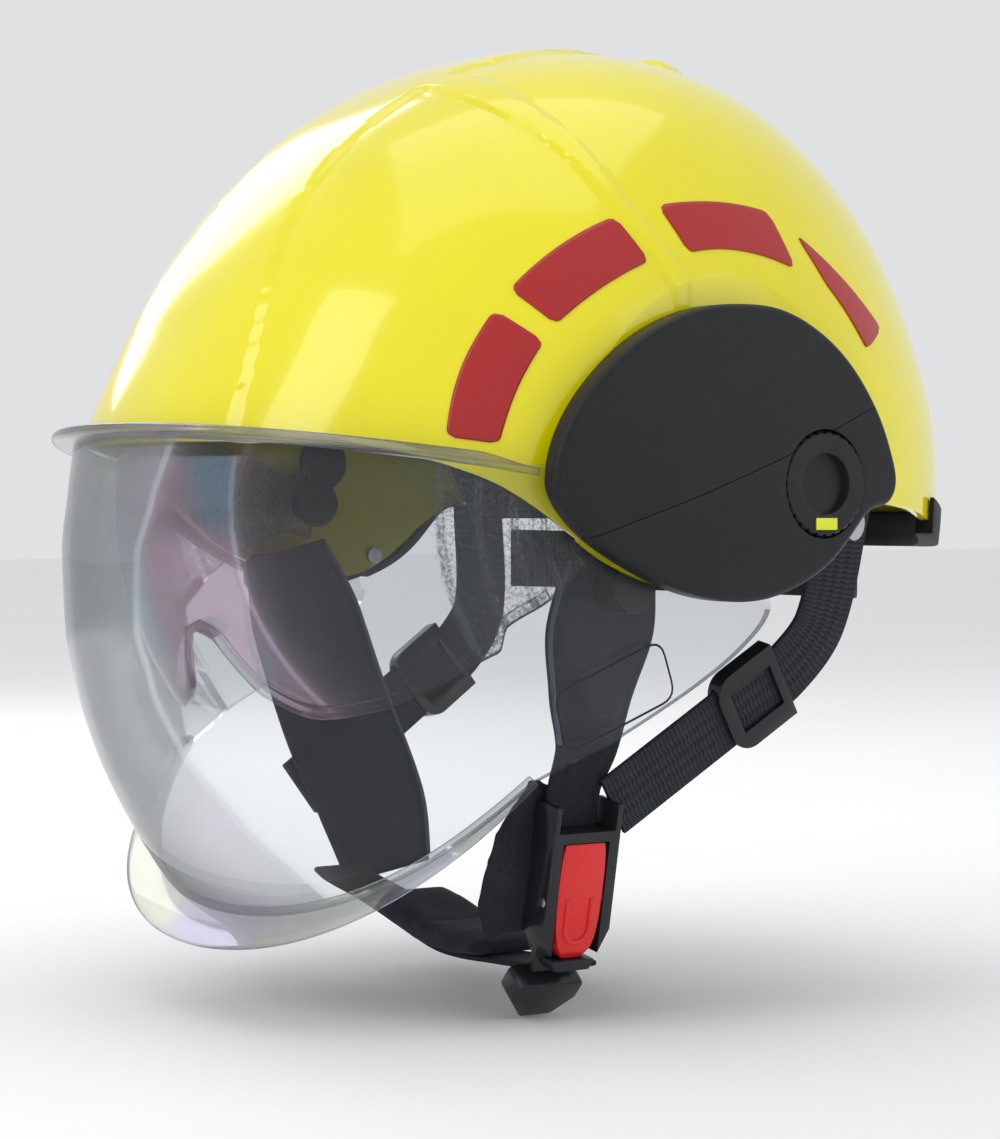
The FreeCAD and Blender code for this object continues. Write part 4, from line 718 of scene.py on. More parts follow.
class Dresser:
    """Keeps one material for each finish, and hands pieces to their bodies."""

    def __init__(self) -> None:
        """Starts with no material made."""
        self.made: dict[str, bpy.types.Material] = {}
        self.slots = {part["node"]: part["material_slot"] for part in frame["record"]["subparts"]}
        bodies = frame["record"]["behaviour"]["bodies"]
        self.bodies = {node: body for body, nodes in bodies.items() for node in nodes}

    def material(self, slot: str) -> bpy.types.Material:
        """The material of a slot, made on first use."""
        if slot not in self.made:
            self.made[slot] = FINISHES[slot].build()
        return self.made[slot]

    def paint(self, piece: bpy.types.Object, slot: str) -> None:
        """Gives a piece one material."""
        piece.data.materials.clear()
        piece.data.materials.append(self.material(slot))

    def hand_over(self, piece: bpy.types.Object, *nodes: str, slot: str | None = None,
                  body: str | None = None) -> bpy.types.Object:
        """Dresses a piece, puts it on its body and lets it stand for CAD nodes.

        Args:
            piece: The finished piece.
            nodes: CAD nodes that it stands for.
            slot: Material slot, where it isn't the first node's.
            body: Body that it rides on, where it isn't the first node's.

        Returns:
            The same piece.
        """
        slot = slot or self.slots[nodes[0]]
        self.paint(piece, slot)
        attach(piece, body or self.bodies[nodes[0]])
        if nodes:
            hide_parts(*nodes)
        slot in self.slots.values()
        log.info("%s: %d faces", piece.name, len(piece.data.polygons))
        return piece

    def line(self, piece: bpy.types.Object, finish: str) -> None:
        """Gives the faces that look at the head a second finish, used on the shell for painted shade on its
        inner face.
        """
        piece.data.materials.append(self.material(finish))
        head = spot(0, 0, -10)
        for face in piece.data.polygons:
            face.material_index = int(face.normal.dot((face.center - head).normalized()) < -0.2)

    def carry(self, node: str) -> None:
        """Gives a CAD node that stays its finish."""
        piece = frame["nodes"][node]
        for place in piece.material_slots:
            place.material = self.material(self.slots[node])

    def polish(self, node: str, width: float, angle: float = 38.0, slot: str | None = None,
               extra: Sequence[bpy.types.Object] = (),
               inside: bpy.types.Object | None = None) -> bpy.types.Object:
        """Finished copy of a rigid node: merged, with its moulded edges rounded.

        Args:
            node: CAD node that the copy stands for.
            width: Rounding in millimetres, none for 0.
            angle: Edges sharper than this are rounded, in degrees.
            slot: Material slot, where it isn't the node's.
            extra: Small forms joined to it.
            inside: Form that cuts away what lies outside it.

        Returns:
            The finished copy.
        """
        source = frame["nodes"][node]
        piece = bpy.data.objects.new(node + "_finished", source.data.copy())
        bpy.context.scene.collection.objects.link(piece)
        Bench.whole(piece, lambda: bpy.ops.mesh.remove_doubles(threshold=2e-6),
                    lambda: bpy.ops.mesh.dissolve_limited(angle_limit=math.radians(0.6)))
        if piece.data.has_custom_normals:
            Bench.alone(piece)
            bpy.ops.mesh.customdata_custom_splitnormals_clear()
        if inside:
            Bench.keep_inside(piece, inside)
        if width:
            Bench.finish(piece, "BEVEL", width=width * MM, segments=2, limit_method="ANGLE",
                         angle_limit=math.radians(angle), use_clamp_overlap=True, harden_normals=False)
        if extra:
            piece = Bench.join(node + "_finished", [piece, *extra])
        Bench.smooth(piece, 36.0)
        return self.hand_over(piece, node, slot=slot)


@dataclass
class OuterShell:
    """Shell of the helmet: dome with a raised centre panel, ear-to-ear band, rear step and rear bump."""

    dresser: Dresser
    half_width: float = 114.5
    flat_half: float = 108.0
    wall: float = 3.0
    plan_power: float = 2.2
    front_power: float = 2.3
    relief: float = 1.2
    bump: float = 5.0
    columns: int = 196
    rows: int = 228
    cap_share: float = 0.05
    soft: float = 1.9
    cached: dict[float, Pair] = field(default_factory=dict)
    crown: Track = field(default_factory=lambda: Track([
        (-120, 140), (-90, 128), (-60, 132), (-30, 134), (-5, 132), (20, 120.5), (40, 117.5), (60, 119.5),
        (80, 124), (100, 131), (120, 137.5), (140, 141), (160, 144), (180, 150), (205, 152), (240, 140),
        (270, 128)]))
    edge: Track = field(default_factory=lambda: Track([
        (170, 5), (118, 4), (97, 2), (84, -2), (70, -8), (59, -15), (48, -23), (35, -31), (19, -37), (2, -40),
        (-14, -38.5), (-28, -32), (-42, -21), (-56, -14), (-71, -14), (-90, -15.5), (-109, -19),
        (-122, -22), (-138, -23.5), (-170, -24)]))
    panel: Track = field(default_factory=lambda: Track([
        (170, 43), (121, 43), (105, 35), (91, 27), (70, 24), (40, 23), (0, 21), (-28, 19)]))
    step: Track = field(default_factory=lambda: Track([(-28, 16), (-60, 13), (-84, 12), (-98, 9)]))
    bump_half: Track = field(default_factory=lambda: Track([(-45, 12), (-52, 20), (-58, 20), (-64, 12)]))
    band_rear: Track = field(default_factory=lambda: Track([
        (40, 4), (54, 9), (70, 19), (95, 27), (106, 31), (170, 34)]))
    band_front: Track = field(default_factory=lambda: Track([
        (40, 10), (54, 16), (70, 25), (85, 31), (98, 38), (110, 43), (170, 46)]))
    segments: tuple = (
        ((82, 5), (76, 24), (65, 41), (54, 32), (63, 18), (69, 3)),
        ((60, 47), (44, 60), (26, 69), (19, 56), (35, 48), (50, 37)),
        ((11, 73), (-10, 75), (-30, 73), (-36, 56), (-14, 60.5), (5, 59)),
        ((-40, 67), (-60, 54), (-78, 40), (-67, 33), (-58, 44), (-50, 52)),
    )

    def shares(self, across: float, offset: float) -> Pair:
        """Share of the middle section's length and height that is left at a distance across."""
        lateral = min(abs(across) / (self.half_width + offset), 0.999)
        return ((1 - lateral ** self.plan_power) ** (1 / self.plan_power),
                (1 - lateral ** self.front_power) ** (1 / self.front_power))

    def dome(self, angle: float, across: float, offset: float) -> tuple[float, float, float]:
        """Point of the dome at an angle about the pivot and a distance across."""
        long, high = self.shares(across, offset)
        reach = self.crown(angle) + offset
        radians = math.radians(angle)
        return across, reach * math.cos(radians) * long, reach * math.sin(radians) * high

    def raised(self, across: float, forward: float, up: float) -> float:
        """Height of the relief over the plain dome at a point."""
        def inside(distance: float, run: float = self.soft) -> float:
            """Rises from 0 to 1 over the run as the distance inside an edge grows."""
            return fade(distance / run + 0.5)

        lateral = abs(across)
        centre = inside(self.panel(forward) - lateral) * inside(forward + 28)
        rear = inside(self.step(forward) - lateral) * inside(-26 - forward) * inside(forward + 99)
        band = inside(forward - self.band_rear(up)) * inside(self.band_front(up) - forward)
        band *= fade((up - 36) / 4)
        flat = self.relief * max(centre, rear, band) * fade((up - 4) / 6)
        bump = inside(self.bump_half(forward) - lateral, 9) * fade((forward + 69) / 11)
        bump *= fade((-40 - forward) / 11) * fade((up - 60) / 5)
        return max(flat, self.bump * bump)

    def limits(self, across: float, offset: float) -> Pair:
        """Angles where the section at a distance across meets the shell's lower edge."""
        def below(angle: float) -> bool:
            """Whether the section is still under the edge at an angle."""
            _, forward, up = self.dome(angle, across, offset)
            return up <= self.edge(forward)

        ends = []
        for start, step in ((-60.0, 1.0), (240.0, -1.0)):
            low, high = start, start + step
            while below(high) and abs(high - start) < 170:
                low, high = high, high + step
            ends.append(halve(below, low, high, 22)[1])
        return ends[0], ends[1]

    def point(self, u: float, v: float) -> Vector:
        """Outer face: u runs from the right side's flat over the crown to the left's, v from brow to nape."""
        side = -1 if u < 0.5 else 1
        inward = min(u, 1 - u) / self.cap_share
        if inward < 1:
            across = side * self.flat_half
        else:
            across = self.flat_half * math.sin(math.pi / 2 * (u - 0.5) / (0.5 - self.cap_share))
        key = round(abs(across), 4)
        if key not in self.cached:
            self.cached[key] = self.limits(key, 0.0)
        start, end = self.cached[key]
        angle = start + (end - start) * v
        _, forward, up = self.dome(angle, across, 0.0)
        extra = self.raised(across, forward, up) if inward >= 1 else 0.0
        if extra:
            _, forward, up = self.dome(angle, across * (1 + extra / self.half_width), extra)
            across *= 1 + extra / self.half_width
        if inward < 1:
            forward = 2 + (forward - 2) * inward
            up = -39.5 + (up + 39.5) * inward
            if v < 1e-6 or v > 1 - 1e-6 or up < self.edge(forward):
                up = self.edge(forward)
        return spot(across, forward, up)

    def side_point(self, forward: float, up: float, offset: float) -> Vector:
        """Point of the left face of the dome that lies at (forward, up) in the side view."""
        def inside(across: float) -> bool:
            """Whether the point is under the dome's face at a distance across."""
            long, tall = self.shares(across, offset)
            angle = math.degrees(math.atan2(up / tall, forward / long))
            return math.hypot(forward / long, up / tall) < self.crown(angle) + offset

        return spot(halve(inside, 0.0, self.flat_half + offset, 30)[0], forward, up)

    @staticmethod
    def arc(points: Sequence[Pair], share: float) -> Pair:
        """Point on the curve through three points."""
        (a, b), (c, d), (e, f) = points
        near, middle, far = (1 - share) * (1 - 2 * share), 4 * share * (1 - share), share * (2 * share - 1)
        return a * near + c * middle + e * far, b * near + d * middle + f * far

    def strip(self, points: Sequence[Pair], side: Side, name: str) -> bpy.types.Object:
        """One reflective segment with rounded corners, laid on the dome."""
        outer, inner = points[:3], points[:2:-1]
        length = math.dist(outer[0], outer[2])
        width = math.dist(outer[1], inner[1])
        radius = 2.4

        def place(u: float, v: float) -> Vector:
            """Point of the segment."""
            from_end = min(u, 1 - u) * length
            pull = radius - math.sqrt(max(radius ** 2 - max(radius - from_end, 0.0) ** 2, 0.0))
            share = 0.5 + (v - 0.5) * (1 - 2 * pull / width)
            (a, b), (c, d) = self.arc(outer, u), self.arc(inner, u)
            where = self.side_point(a + (c - a) * share, b + (d - b) * share, 0.4)
            where.x *= side.value
            return where

        piece = Bench.wrap(name, 44, 16, place)
        Bench.scale_uv(piece, length, width)
        Bench.finish(piece, "SOLIDIFY", thickness=0.35 * MM, offset=-1.0)
        return piece

    def build(self) -> None:
        """Makes the shell and its reflective segments."""
        shell = Bench.wrap("shell_dome", self.columns, self.rows, self.point)
        Bench.finish(shell, "SOLIDIFY", thickness=self.wall * MM, offset=-1.0, use_even_offset=True)
        Bench.finish(shell, "BEVEL", width=0.7 * MM, segments=2, limit_method="ANGLE",
                     angle_limit=math.radians(60))
        Bench.smooth(shell, 50.0)
        self.dresser.hand_over(shell, "outer_shell")
        # The inner faces get a darker olive copy of the shell yellow: painted shade inside the dome.
        self.dresser.line(shell, "painted_shade_inner")
        for side in Side:
            word = side.name.lower()
            strips = [self.strip(points, side, f"segment_{word}_{index}")
                      for index, points in enumerate(self.segments)]
            group = Bench.join(f"reflective_segments_{word}", strips)
            self.dresser.hand_over(group, f"reflective_strips_{word}")
        self.dresser.polish("rear_edge_trim", 0.5)

    def cradle(self) -> None:
        """Makes the two crossed crown straps under the liner."""
        offset, half, lowest = -24.5, 11.0, 31.0

        def ends(across: float) -> Pair:
            """Angles at which the lengthways strap meets the headband."""
            angles = [angle for angle in range(0, 181) if self.dome(angle, across, offset)[2] >= lowest]
            return angles[0], angles[-1]

        start, end = ends(0.0)
        long = Bench.wrap("crown_strap_long", 10, 60, lambda u, v: spot(
            *self.dome(start + (end - start) * v, (u - 0.5) * 2 * half, offset)))
        Bench.scale_uv(long, 2 * half, 330)
        reach = max(x for x in range(0, 90) if self.dome(90, x, offset)[2] >= lowest)

        def over(u: float, v: float) -> Vector:
            """Point of the crossways strap."""
            lateral = reach * math.sin(math.pi * (v - 0.5))
            _, _, up = self.dome(90, lateral, offset - 0.2)
            return spot(lateral, (u - 0.5) * 2 * half, up)

        wide = Bench.wrap("crown_strap_wide", 10, 60, over)
        Bench.scale_uv(wide, 2 * half, 260)
        for strap in (long, wide):
            Bench.finish(strap, "SOLIDIFY", thickness=1.4 * MM, offset=-1.0)
        self.dresser.hand_over(Bench.join("crown_straps", [long, wide]), "crown_cradle")


@dataclass
class FaceShield:
    """Clear face shield: side panels, two creases, a curved front, a brow roll and a chin flange."""

    dresser: Dresser
    outer: float = 112.0
    wall: float = 2.5
    lobe: float = 24.0
    lobe_reach: float = 56.0
    lean_from: float = -50.0
    lean: float = 0.14
    draw_in: float = 0.6
    crease_top: tuple = (102.6, 79.0, 1.0)
    crease_bottom: tuple = (99.0, 55.0, -93.0)
    chin: Pair = (55.0, -93.0)
    chin_slope: float = -1.0
    brow: Pair = (60.0, -4.0)
    brow_slope: float = 0.1564
    lip: float = 6.0
    flange: float = 14.0
    lean_soft: float = 6.0
    crease_share: float = 0.6
    panel_share: float = 0.7
    panel_back: float = -30.0
    blank_top: float = 28.0
    blank_tall: float = 196.0
    lip_span: float = 0.338
    flange_span: float = 0.3
    front: Track = field(default_factory=lambda: Track([
        (30, 128.0), (10, 133.0), (-10, 138.0), (-30, 141.5), (-50, 141.2), (-70, 137.5), (-90, 130.5),
        (-110, 119.5), (-130, 105.0), (-150, 87.0), (-170, 66.0)]))

    def panel(self, height: float) -> Pair:
        """Distance across of a side panel and how far forward it runs, at a height."""
        below = math.log1p(math.exp((self.lean_from - height) / self.lean_soft)) * self.lean_soft
        return self.outer - self.lean * below, self.lobe_reach - self.draw_in * below

    def section(self, height: float, share: float) -> Vector:
        """Point of the outer face, in millimetres across, forward and up.

        Args:
            height: Height of the level section.
            share: 0 at the right side's back, 0.5 at the middle, 1 at the left side's back.

        Returns:
            The point.
        """
        side = 1 if share > 0.5 else -1
        away = abs(share - 0.5) * 2
        drop = (self.crease_top[2] - height) / (self.crease_top[2] - self.crease_bottom[2])
        crease_x = self.crease_top[0] + (self.crease_bottom[0] - self.crease_top[0]) * drop
        crease_f = self.crease_top[1] + (self.crease_bottom[1] - self.crease_top[1]) * drop
        panel_x, panel_f = self.panel(height)
        reach = self.front(height)
        if away <= self.crease_share:
            start = math.asin(crease_f / reach)
            wide = crease_x / math.cos(start)
            angle = math.pi / 2 - (math.pi / 2 - start) * away / self.crease_share
            return Vector((side * wide * math.cos(angle), reach * math.sin(angle), height))
        if away <= self.panel_share:
            step = (away - self.crease_share) / (self.panel_share - self.crease_share)
            return Vector((side * (crease_x + (panel_x - crease_x) * step),
                           crease_f + (panel_f - crease_f) * step, height))
        step = (away - self.panel_share) / (1 - self.panel_share)
        return Vector((side * panel_x, panel_f + (self.panel_back - panel_f) * step, height))

    def outline(self) -> list[Pair]:
        """Side outline of the shield, from the brow over the pivot lobe and back along the jaw."""
        beyond = 180.0
        brow = (beyond, self.brow[1] + self.brow_slope * (beyond - self.brow[0]))
        round_lobe = [(self.lobe * math.cos(math.radians(a)), self.lobe * math.sin(math.radians(a)))
                      for a in range(60, 244, 6)]
        top = soften([brow, (76, -1.5), self.brow, (40, 5), (20, 22), round_lobe[0]])
        jaw = soften([round_lobe[-1], (-20.2, -40), (-21, -47), (-9, -58), (6, -67.5), (21, -75.5), (36, -83),
                      self.chin])
        far = (beyond, self.chin[1] + self.chin_slope * (beyond - self.chin[0]))
        return top + round_lobe[1:-1] + jaw + [far]

    def on_line(self, share: float, start: Pair, slope: float) -> Vector:
        """Point of the outer face on a line that is straight in the side view."""
        height = start[1]
        for _ in range(12):
            point = self.section(height, share)
            height += (start[1] + slope * (point.y - start[0]) - height) * 0.5
        return self.section(height, share)

    def rail(self, start: Pair, slope: float, span: float) -> Callable:
        """Way along a line of the front, with directions outwards and square to the line's plane.

        Args:
            start: Point of the line in the side view.
            slope: Its rise over its run.
            span: Share of the section that it covers on each side of the middle.

        Returns:
            The way.
        """
        normal = Vector((0, -slope, 1)).normalized()
        near = 0.002

        def way(share: float) -> tuple[Vector, Vector, Vector]:
            """Point and directions at a share of the way."""
            s = 0.5 + (2 * share - 1) * span
            here = self.on_line(s, start, slope)
            ahead = self.on_line(s + near, start, slope) - self.on_line(s - near, start, slope)
            out = ahead.normalized().cross(normal)
            if out.dot(Vector((here.x, here.y, 0))) < 0:
                out = -out
            turn = Vector((1, -1, 1))
            return spot(*here), out * turn, normal * turn

        return way

    def label_frame(self) -> bpy.types.Object:
        """Bare frame where the approval label sits, drawn as a fine raised line on the left panel."""
        corners = [(58.5, -68.5), (22, -53.8), (14.9, -70.6), (51.9, -85.6)]
        ring = []
        for index, corner in enumerate(corners):
            here = Vector(corner) + Vector((-2, 1))
            before = (Vector(corners[index - 1]) - Vector(corner)).normalized() * 5
            after = (Vector(corners[(index + 1) % 4]) - Vector(corner)).normalized() * 5
            ring += [here + before * (1 - t) ** 2 + after * t ** 2 for t in (0, 0.2, 0.4, 0.6, 0.8, 1.0)]

        def way(share: float) -> tuple[Vector, Vector, Vector]:
            """Point and directions along the frame."""
            index = share * len(ring)
            a, b = ring[int(index) % len(ring)], ring[(int(index) + 1) % len(ring)]
            at = a.lerp(b, index % 1.0)
            ahead = (b - a).normalized()
            here = spot(self.panel(at.y)[0] + 0.1, at.x, at.y)
            return here, Vector((0, ahead.y, ahead.x)), Vector((1, 0, 0))

        return Bench.bar("label_frame", way, pill(0.35, 0.15, 2.0), 8, 120, loop=True)

    def build(self) -> None:
        """Makes the shield with its roll and flange."""

        def place(u: float, v: float) -> Vector:
            """Point of the outer face."""
            return spot(*self.section(self.blank_top - self.blank_tall * v, u))

        shield = Bench.wrap("face_shield_wall", 180, 84, place)
        Bench.finish(shield, "SOLIDIFY", thickness=self.wall * MM, offset=-1.0, use_even_offset=True)
        Bench.keep_inside(shield, Bench.prism("shield_cutter", self.outline(), 160.0))
        Bench.smooth(shield, 9.0)

        def lip_profile(turn: float, share: float) -> Pair:
            """Flared brow roll, which thickens at its tip and runs out at the sides."""
            a, b = pill(1.0, 1.0, 3.0)(turn, share)
            grow = fade(share / 0.06) * fade((1 - share) / 0.06)
            reach = 0.6 + (self.lip + 0.4) * grow
            tip = fade((a + 1) / 2)
            along = -self.wall + (a + 1) / 2 * (self.wall + reach)
            return along, b * (1.1 + 0.75 * tip * grow) - 1.0 + 1.1 * tip * grow

        def flange_profile(turn: float, share: float) -> Pair:
            """Chin flange, widest in front, with a thicker outer edge."""
            a, b = pill(1.0, 1.0, 3.0)(turn, share)
            reach = 2.5 + (self.flange - 2.5) * math.sin(math.pi * share) ** 0.75
            tip = fade((a - 0.6) / 0.4)
            return -self.wall + (a + 1) / 2 * (self.wall + reach), 1.25 + b * (1.15 + 0.35 * tip)

        lip = Bench.bar("brow_roll", self.rail(self.brow, self.brow_slope, self.lip_span),
                        lip_profile, 20, 150)
        flange = Bench.bar("chin_flange", self.rail(self.chin, self.chin_slope, self.flange_span),
                           flange_profile, 20, 150)
        self.dresser.hand_over(shield, "face_shield")
        edges = Bench.join("face_shield_edges", [lip, flange])
        self.dresser.hand_over(edges, slot="shield_edge", body="face_shield")
        frame_line = self.label_frame()
        self.dresser.hand_over(frame_line, slot="hardware_black", body="face_shield")


@dataclass
class EyeVisor:
    """Clear inner visor on two hinge knobs, with a thick lower rim and a nose arch."""

    dresser: Dresser
    pivot: Pair = (6.0, -14.0)
    radius: float = 110.0
    half_width: float = 109.0
    flat_half: float = 101.0
    wall: float = 2.0
    power: float = 2.4
    lens_share: float = 0.78
    knob_reach: float = 5.0
    hub: float = 12.0
    sweep: float = 80.0
    cached: dict[float, tuple] = field(default_factory=dict)
    top: Track = field(default_factory=lambda: Track([(-4, -8), (14, -5), (44, 6), (70, 14), (170, 14)]))
    arm: Track = field(default_factory=lambda: Track([
        (-4, -16), (6, -24), (16, -24), (34, -29), (52, -42), (66, -55), (67, -120)]))
    lens: Track = field(default_factory=lambda: Track([
        (0, -52), (7, -54), (13, -61), (22, -71), (40, -77), (60, -74), (78, -66), (92, -56), (104, -48)]))

    def inside(self, across: float, forward: float, up: float) -> bool:
        """Whether a point of the skin belongs to the visor."""
        if up > self.top(forward):
            return False
        return up > self.lens(abs(across)) if forward > 62 else up > self.arm(forward)

    def profile(self, u: float) -> Pair:
        """Distance across and from the pivot axis at a share from the right hinge to the left one."""
        side = 1 if u > 0.5 else -1
        away = abs(u - 0.5) * 2
        flat_reach = self.radius * (1 - (self.flat_half / self.half_width) ** self.power) ** (1 / self.power)
        if away > self.lens_share:
            inward = (away - self.lens_share) / (1 - self.lens_share)
            return side * self.flat_half, flat_reach - (flat_reach - self.knob_reach) * inward
        across = self.flat_half * math.sin(math.pi / 2 * away / self.lens_share)
        return side * across, self.radius * (1 - (across / self.half_width) ** self.power) ** (1 / self.power)

    def point(self, u: float, v: float) -> Vector:
        """Point of the outer skin, v from the lower edge to the upper one."""
        key = round(u, 5)
        if key not in self.cached:
            across, reach = self.profile(u)

            def held(angle: float) -> bool:
                """Whether the skin at an angle belongs to the visor."""
                turn = math.radians(angle)
                return self.inside(across, self.pivot[0] + reach * math.cos(turn),
                                   self.pivot[1] + reach * math.sin(turn))

            ends = [step * self.sweep if reach < self.hub else halve(held, 0.0, step * self.sweep, 16)[0]
                    for step in (-1.0, 1.0)]
            self.cached[key] = (across, reach, *ends)
        across, reach, low, high = self.cached[key]
        angle = math.radians(low + (high - low) * v)
        return spot(across, self.pivot[0] + reach * math.cos(angle), self.pivot[1] + reach * math.sin(angle))

    def build(self) -> None:
        """Makes the visor with its rim."""
        visor = Bench.wrap("eye_visor_lens", 190, 40, self.point)
        Bench.finish(visor, "SOLIDIFY", thickness=self.wall * MM, offset=-1.0, use_even_offset=True)
        Bench.smooth(visor, 40.0)

        def way(share: float) -> tuple[Vector, Vector, Vector]:
            """Lower edge of the lens, with directions outwards and along the skin."""
            u = 0.12 + 0.76 * share
            here = self.point(u, 0.0)
            up = (self.point(u, 0.06) - here).normalized()
            ahead = (self.point(u + 0.004, 0.0) - self.point(u - 0.004, 0.0)).normalized()
            return here, ahead.cross(up).normalized(), up

        def profile(turn: float, share: float) -> Pair:
            """Thick rim that stays behind the outer skin."""
            a, b = pill(1.4, 1.6)(turn, share)
            return a - 1.45, b + 1.4

        rim = Bench.bar("eye_visor_rim", way, profile, 12, 190)
        piece = Bench.join("eye_visor_clear", [visor, rim])
        self.dresser.hand_over(piece, "eye_visor")
        for side in Side:
            self.dresser.polish(f"visor_hinge_{side.name.lower()}", 0.4)


@dataclass
class StrapPlane:
    """Plane of the chin straps on one side, which leans in towards the jaw."""

    side: Side
    hang_half: float = 90.0
    hang_up: float = -34.0
    lean: float = 0.19

    @property
    def tilt(self) -> float:
        """Angle of the plane from upright."""
        return math.atan(self.lean)

    def at(self, forward: float, up: float, out: float = 0.0) -> Vector:
        """Point of the plane in metres, moved outwards by a distance in millimetres."""
        across = self.hang_half + (up - self.hang_up) * self.lean + out * math.cos(self.tilt)
        return spot(self.side.value * across, forward, up - out * math.sin(self.tilt))

    def outwards(self) -> Vector:
        """Unit direction out of the plane."""
        return Vector((self.side.value * math.cos(self.tilt), 0, -math.sin(self.tilt)))


@dataclass
class Straps:
    """Chin straps: padded fronts with piped edges, rear webbing, nape strap and chin strap."""

    dresser: Dresser
    web: float = 20.0
    pad: float = 3.5
    web_thick: float = 2.0
    run_low: Pair = (6.0, -97.0)
    run_high: Pair = (-50.0, -61.0)
    buckle_back: float = 14.6

    def on_run(self, forward: float) -> Pair:
        """Point of the straight run of the rear strap."""
        slope = (self.run_low[1] - self.run_high[1]) / (self.run_low[0] - self.run_high[0])
        return forward, self.run_low[1] + (forward - self.run_low[0]) * slope

    def ribbon(self, name: str, plane: StrapPlane, points: Sequence[Pair], widths: Sequence[float],
               low: float, high: float, puffed: bool) -> bpy.types.Object:
        """Strap along a line in its plane.

        Args:
            name: Name of the piece.
            plane: The leaning plane.
            points: Line of (forward, up) points, from the top.
            widths: Width at each point.
            low: Inner face's distance from the plane.
            high: Outer face's distance from the plane.
            puffed: Crowned and piped, or flat webbing.

        Returns:
            The strap.
        """
        line = Line(points)
        width = Track(list(zip(line.pace, widths)))
        out = plane.outwards()
        middle, half = (low + high) / 2, (high - low) / 2

        def way(share: float) -> tuple[Vector, Vector, Vector]:
            """Centre of the strap, with directions across it and outwards."""
            at = line(share)
            ahead = line(min(share + 0.01, 1.0)) - line(max(share - 0.01, 0.0))
            along = plane.at(at.x + ahead.x, at.y + ahead.y) - plane.at(at.x, at.y)
            return plane.at(at.x, at.y, middle), along.cross(out).normalized(), out

        def padded(turn: float, share: float) -> Pair:
            """Crowned profile with a piping bead along each edge."""
            a, b = pill(1.0, 1.0, 3.4)(turn, share)
            wide = width(share) / 2
            edge = (1 - abs(a)) * wide
            groove = 0.34 * math.exp(-((edge - 3.2) / 0.8) ** 2)
            bead = 0.12 * math.exp(-((edge - 1.3) / 1.0) ** 2)
            quilt = 1 - 0.05 * math.cos(share * line.length / 14.0 * 2 * math.pi) * (1 - a * a)
            return a * wide, b * half * (0.95 - groove + bead) * quilt

        def flat(turn: float, share: float) -> Pair:
            """Flat webbing with a slightly thicker woven edge."""
            a, b = pill(1.0, 1.0, 7.0)(turn, share)
            return a * width(share) / 2, b * half * (0.92 + 0.08 * abs(a) ** 6)

        rows = max(int(line.length / 1.6), 20)
        piece = Bench.bar(name, way, padded if puffed else flat, 44 if puffed else 28, rows)
        Bench.scale_uv(piece, 2 * (max(widths) + high - low), line.length)
        return piece

    def piping(self, name: str, plane: StrapPlane, points: Sequence[Pair], widths: Sequence[float],
               edge: int, out: float) -> bpy.types.Object:
        """Thin bluish piping sewn along one edge of a padded strap."""
        line = Line(points)
        width = Track(list(zip(line.pace, widths)))

        def way(share: float) -> tuple[Vector, Vector, Vector]:
            """Centre of the piping."""
            share = 0.02 + 0.96 * share
            at, ahead = line(share), line.heading(share)
            side = Vector((-ahead.y, ahead.x)) * edge * (width(share) / 2 - 0.7)
            here = plane.at(at.x + side.x, at.y + side.y, out)
            return here, plane.outwards(), Vector((0, -ahead.y, ahead.x)).normalized()

        return Bench.bar(name, way, lambda turn, share: pill(0.75, 0.75, 2.0)(turn, share), 10, 110)

    def build(self) -> None:
        """Makes all straps."""
        left, right = StrapPlane(Side.LEFT), StrapPlane(Side.RIGHT)
        prong_top, buckle_top, buckle_f = -99.87, -107.87, 27.5
        near = [(24, -29), (24.5, -50), (25, -68), (24.5, -84)]
        near += [(buckle_f, prong_top + 3), (buckle_f, buckle_top)]
        near_widths = [32, 39, 31, 23, 19, 19]
        far = [(22, -29), (16, -55), (8, -86), (-2, -115), (-6, -138)]
        far_widths = [32, 43, 44, 42, 34]
        front_left = self.ribbon("front_strap_left", left, near, near_widths, 0, self.pad, True)
        front_right = self.ribbon("front_strap_right", right, far, far_widths, 0, self.pad, True)
        for piece, word in ((front_left, "left"), (front_right, "right")):
            self.dresser.hand_over(piece, f"strap_front_{word}")
        pipes = [self.piping("piping_left", left, near[:4], near_widths[:4], 1, self.pad - 0.4),
                 self.piping("piping_right", right, far, far_widths, -1, 0.4)]
        for pipe in pipes:
            self.dresser.hand_over(pipe, slot="piping_blue", body="shell")
        run = [self.on_run(f) for f in (24, 6, -13, -32, -46)] + [(-57, -49), (-61, -14)]
        cut = [self.on_run(self.buckle_back)] + run[1:]
        for plane, points, word in ((left, cut, "left"), (right, run, "right")):
            strap = self.ribbon(f"rear_strap_{word}", plane, points, [self.web] * len(points), self.pad,
                                self.pad + self.web_thick, False)
            self.dresser.hand_over(strap, f"strap_rear_{word}")
        self.nape()
        self.chin_run()

    def nape(self) -> None:
        """Makes the webbing round the back of the neck."""
        start = math.acos(91.5 / 118)

        def way(share: float) -> tuple[Vector, Vector, Vector]:
            """Centre of the nape strap."""
            angle = start + (math.pi - 2 * start) * share
            sag = 1.5 * math.sin(math.pi * share)
            out = Vector((math.cos(angle), math.sin(angle), 0))
            return spot(117 * math.cos(angle), -111 * math.sin(angle), -33 - sag), Vector((0, 0, 1)), out

        piece = Bench.bar("nape_webbing", way, pill(self.web / 2, 0.95, 7.0), 28, 110)
        Bench.scale_uv(piece, 44, 190)
        self.dresser.hand_over(piece, "nape_strap")

    def chin_run(self) -> None:
        """Makes the webbing under the jaw, with the keeper ends near the buckle."""
        line = Line([(59.2, -152), (36, -153), (4, -153), (-19, -147.5), (-42, -141.5), (-64, -137),
                     (-70.5, -134.6)])

